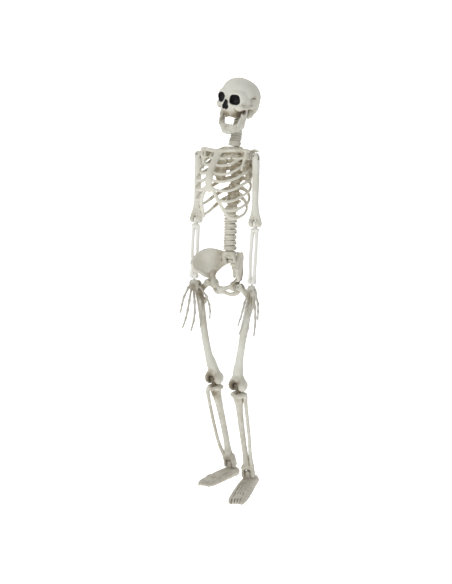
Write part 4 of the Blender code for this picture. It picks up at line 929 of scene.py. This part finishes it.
def shin(tag, side):
    upper, lower = shin_frames(tag)
    heading = (upper.inverted() @ lower).to_3x3()
    c = Clay((-30, -16, -222), (30, 16, 10), 0.95)
    out, full = (25, 1) if side < 0 else (16.5, 0.88)    # how far out the fibula is, the tibia's girth
    for end in (-1, 1):
        c.ball((end * 9.8, 0.4, -21), (10.2, 11.6, 5.8), 2.5)
    c.bar(on(-side, (0, 0, -22), (0.6, -0.4, -33), (1.4, -0.6, -47), (2.4, -0.6, -75), (2.6, -0.4, -120),
             (1.8, 0, -160), (0, 0, -184)),
          [13, 11.2, 9 * full, 7.6 * full, 6.9 * full, 6.9 * full, 8.8], 3)
    c.bar(on(-side, (1, -7.5, -30), (1.6, -6, -42), (2.8, -4.6, -75), (2.8, -3.8, -120)),
          [4.6, 3.2, 2.4, 1.6], 4)
    c.block((0, 0, -5), (40, 40, 10.9), 0.6, 0.8, carve=True)
    c.ball((0, -2, -15), (3.2, 9, 2.6), 1.5, carve=True)
    c.drum((-4.15, 0, 0), (4.15, 0, 0), 7.3, 0.9, 0.5)
    c.block((0, 0, -10), (4.15, 5.2, 8), 0.8, 1.5)
    c.bar(on(side, (17, 1.5, -23), (out - 0.5, 1, -33), (out, -0.4, -60), (out - 1, -1, -120),
             (out - 4, -0.5, -165), (13, 0, -192)), [5, 4.4, 3.8, 3.7, 3.8, 5], 2)
    base = Vector((0, 0, -211))
    c.block(place(heading, 0, 0, 17.5, base), (12, 8, 6), 3, 3.5, heading)
    for end in (-1, 1):
        c.block(place(heading, end * 10.2, 0, 7, base), (3.2, 7.4, 13), 2.2, 1.2, heading)
        c.ball(place(heading, end * 10.6, 0, -1, base), (3.6, 8, 8), 1.5)
    c.ball(place(heading, 0, 0, -2, base), (6.7, 12, 11.5), 0.8, carve=True)
    c.block(place(heading, 0, 0, -4, base), (5.9, 14, 11), 1.5, 0.8, heading, carve=True)
    # Painted shade in the knee and ankle joints, nearly black at the knee pin, with milder darkening below the
    # knee and along the shaft.
    stain_and_shade_spots = [(0, -10, -31, 13, 0.9 - side * 0.5), (0, 0, -3, 11, 3.2), (0, 0, -16, 7, 0.9),
              (0, -2, -203, 13, 0.9), (side * 9, 0, -110, 50, 0.15), (0, 0, -195, 22, 0.3)]
    bone("shin_bones_" + tag, c, upper, "shin_" + tag, ["shin_" + tag], rough=0.24, stain_and_shade=0.26, seed=27 + side,
         stain_and_shade_spots=stain_and_shade_spots)


FOOT_REST = {-1: -14.5, 1: -3.6}             # pitch of the feet at rest, right and left


def foot(tag, side):
    lower = shin_frames(tag)[1]
    at = lower @ spin("X", FOOT_REST[side])
    c = Clay((-19, -114, -32), (19, 27, 8), 0.85)
    heel = 4 if side < 0 else 12                 # how far back it reaches
    rows = [(heel + 8, 6.4, -24.5, -9), (heel + 2, 9.6, -29, -7), (0, 10.8, -29, -9), (-20, 12.2, -28.6, -8.5),
            (-45, 14.6, -28.6, -10.5), (-75, 16.8, -28.6, -13.5), (-94, 16.4, -28.6, -15),
            (-104, 13.6, -28.4, -17.5)]
    lanes = []
    for k in np.linspace(-1, 1, 9):
        lanes.append([(half * k * 0.86, y, (low + high) / 2 - 0.4 - 1 * k * k) for y, half, low, high in rows])
    c.bars(lanes, [(high - low) / 2 - 0.8 for _, _, low, high in rows], 2)
    c.ball((0, heel - 1, -17), (9.2, 9.5, 11.5), 4)
    c.ball((0, 0, 2), (5.2, 7.2, 6.8), 1.5)
    c.ball((side * 2, 2, -12), (8.8, 11, 7), 4)
    c.ball((side * 6, -12, -18), (6.5, 13, 7.5), 4)
    c.ball((-side * 4, -18, -14.5), (6.4, 12, 6.5), 3)
    c.block((0, -1, -8), (5.1, 6.2, 7.5), 1.6, 1.6)
    c.drum((-5.1, 0, 0), (5.1, 0, 0), 5.6, 0.9, 0.8)
    toes = ((-1, 3.9, -107), (-0.45, 3.1, -109), (0.02, 3, -106.5), (0.48, 2.9, -102), (0.95, 2.9, -96))
    for n, (k, r, tip) in enumerate(toes):
        x0, x1, x2 = (side * k * w for w in (8.6, 12, 13.2))
        c.bar([(x0, -30, -11.2 - n * 0.9), (x1 * 0.98, -52, -12.5 - n * 0.6), (x1 * 1.08, -70, -14.8)],
              [r * 0.95, r * 0.78, r * 1.15], 1.4)
        c.ball((x1 * 1.10, -73, -15.8), (r * 1.15, 4, r * 0.95), 1.2)
        c.bar([(x1 * 1.11, -77, -16.8), (x2, -88, -18.2), (x2, tip * 0.93, -20.5), (x2, tip, -23)],
              [r * 0.9, r * 0.8, r * 1, r * 0.75], 1)
        c.ball((x2, tip * 0.925, -20), (r * 1.1, 2.6, r * 1), 1)
    for a, b in zip(toes, toes[1:]):
        x = side * (a[0] + b[0]) / 2 * 13.2
        c.block((x, min(a[2], b[2]) + 2, -25), (0.5, 9, 9), 0.3, 1.6, carve=True)
    for x, y, z in ((-5, -27, -11.5), (2, -28, -12.5), (8, -27, -15), (0, -12, -9.5)):
        c.ball((side * x, y, z), (4.4, 1.2, 2), 1.4, carve=True)
    bone("foot_bones_" + tag, c, at, "foot_" + tag, ["foot_" + tag], "foot", rough=0.32, stain_and_shade=0.12,
         seed=30 + side, stain_and_shade_spots=[(0, 0, -6, 12, 0.3), (0, -40, -16, 26, 0.15), (0, 10, -28, 16, 0.2)])


# --- the figure ---
skull()
jaw()
neck()
chest_front()
chest_back()
loin()
hips()
tail_bone()
for tag, side in SIDES.items():
    link("shoulder", tag, side, (26, 12, 12), (23, 9, 4.4), (10.5, 8.5, 8.1), (5.4, 2.7, 4.2), 0.35, 10)
    upper_arm(tag, side)
    forearm(tag, side)
    hand(tag, side)
    link("hip", tag, side, (22, 11, 11), (19, 9, 3.9), (11.2, 9.1, 7.7), (6.4, 2.7, 4), 0.7, 21)
    thigh(tag, side)
    shin(tag, side)
    foot(tag, side)
for name, node in frame["nodes"].items():
    if not node.hide_render:
        node.data.materials.clear()
        node.data.materials.append(MATERIALS["bone" if "peg" in name or "spindle" in name else "steel"])


# --- stage ---
AZIMUTH, ELEVATION, DISTANCE = 37.0, 8.2, 3.2
FACING = spin("Z", AZIMUTH)


def studio():
    floor_z, far, radius = -1.30, 2.6, 1.1
    profile = [(-6.0, floor_z), (far - radius, floor_z)]
    profile += [(far - radius + radius * sin(a), floor_z + radius - radius * cos(a))
                for a in np.linspace(0, pi / 2, 16)[1:]] + [(far, 5.0)]
    points = [FACING @ Vector((x, y, z)) for y, z in profile for x in (-7, 7)]
    faces = [(i, i + 1, i + 3, i + 2) for i in range(0, len(points) - 2, 2)]
    mesh = bpy.data.meshes.new("backdrop")
    mesh.from_pydata(points, [], faces)
    mesh.polygons.foreach_set("use_smooth", [True] * len(faces))
    floor = bpy.data.objects.new("backdrop", mesh)
    bpy.context.scene.collection.objects.link(floor)
    g = Graph("backdrop_white")
    g.links.new(g.mix(g.noise(3), (0.93, 0.93, 0.93), (0.95, 0.95, 0.95)), g.shader.inputs["Base Color"])
    g.shader.inputs["Roughness"].default_value = 0.9
    g.shader.inputs["Emission Color"].default_value = (1, 1, 1, 1)
    g.shader.inputs["Emission Strength"].default_value = 0.70
    mesh.materials.append(g.material)


def lamp(name, at, aim, power, size):
    data = bpy.data.lights.new(name, "AREA")
    data.energy, data.shape, data.size = power, "DISK", size
    lamp = bpy.data.objects.new(name, data)
    lamp.location = at
    lamp.rotation_euler = (Vector(aim) - Vector(at)).to_track_quat("-Z", "Y").to_euler()
    bpy.context.scene.collection.objects.link(lamp)


def camera(azimuth, elevation, distance, target, lens):
    a, e = radians(azimuth), radians(elevation)
    away = Vector((sin(a) * cos(e), -cos(a) * cos(e), sin(e)))
    data = bpy.data.cameras.new("camera")
    data.lens, data.sensor_width, data.sensor_fit = lens, 36.0, "AUTO"
    data.shift_x, data.shift_y = -4.56 / 584, -9.41 / 584
    camera = bpy.data.objects.new("camera", data)
    camera.location = Vector(target) + away * distance
    camera.rotation_euler = away.to_track_quat("Z", "Y").to_euler()
    bpy.context.scene.collection.objects.link(camera)
    bpy.context.scene.camera = camera


studio()
lamp("key", FACING @ Vector((-1.1, -1.9, 1.3)), (0, 0, -0.2), 31, 1.2)
lamp("fill", FACING @ Vector((2.2, -2.2, 0.4)), (0, 0, -0.5), 4, 2.2)
lamp("top", FACING @ Vector((0.2, 0.6, 2.2)), (0, 0, -0.4), 9, 1.8)
world = bpy.data.worlds.new("studio")
bpy.context.scene.world = world
world.use_nodes = True
world.node_tree.nodes["Background"].inputs["Color"].default_value = (1.0, 1.0, 1.0, 1.0)
world.node_tree.nodes["Background"].inputs["Strength"].default_value = 0.20
bpy.context.scene.view_settings.view_transform = "Standard"
camera(AZIMUTH, ELEVATION, DISTANCE, (-0.0198, -0.0283, -0.446), 90.28)
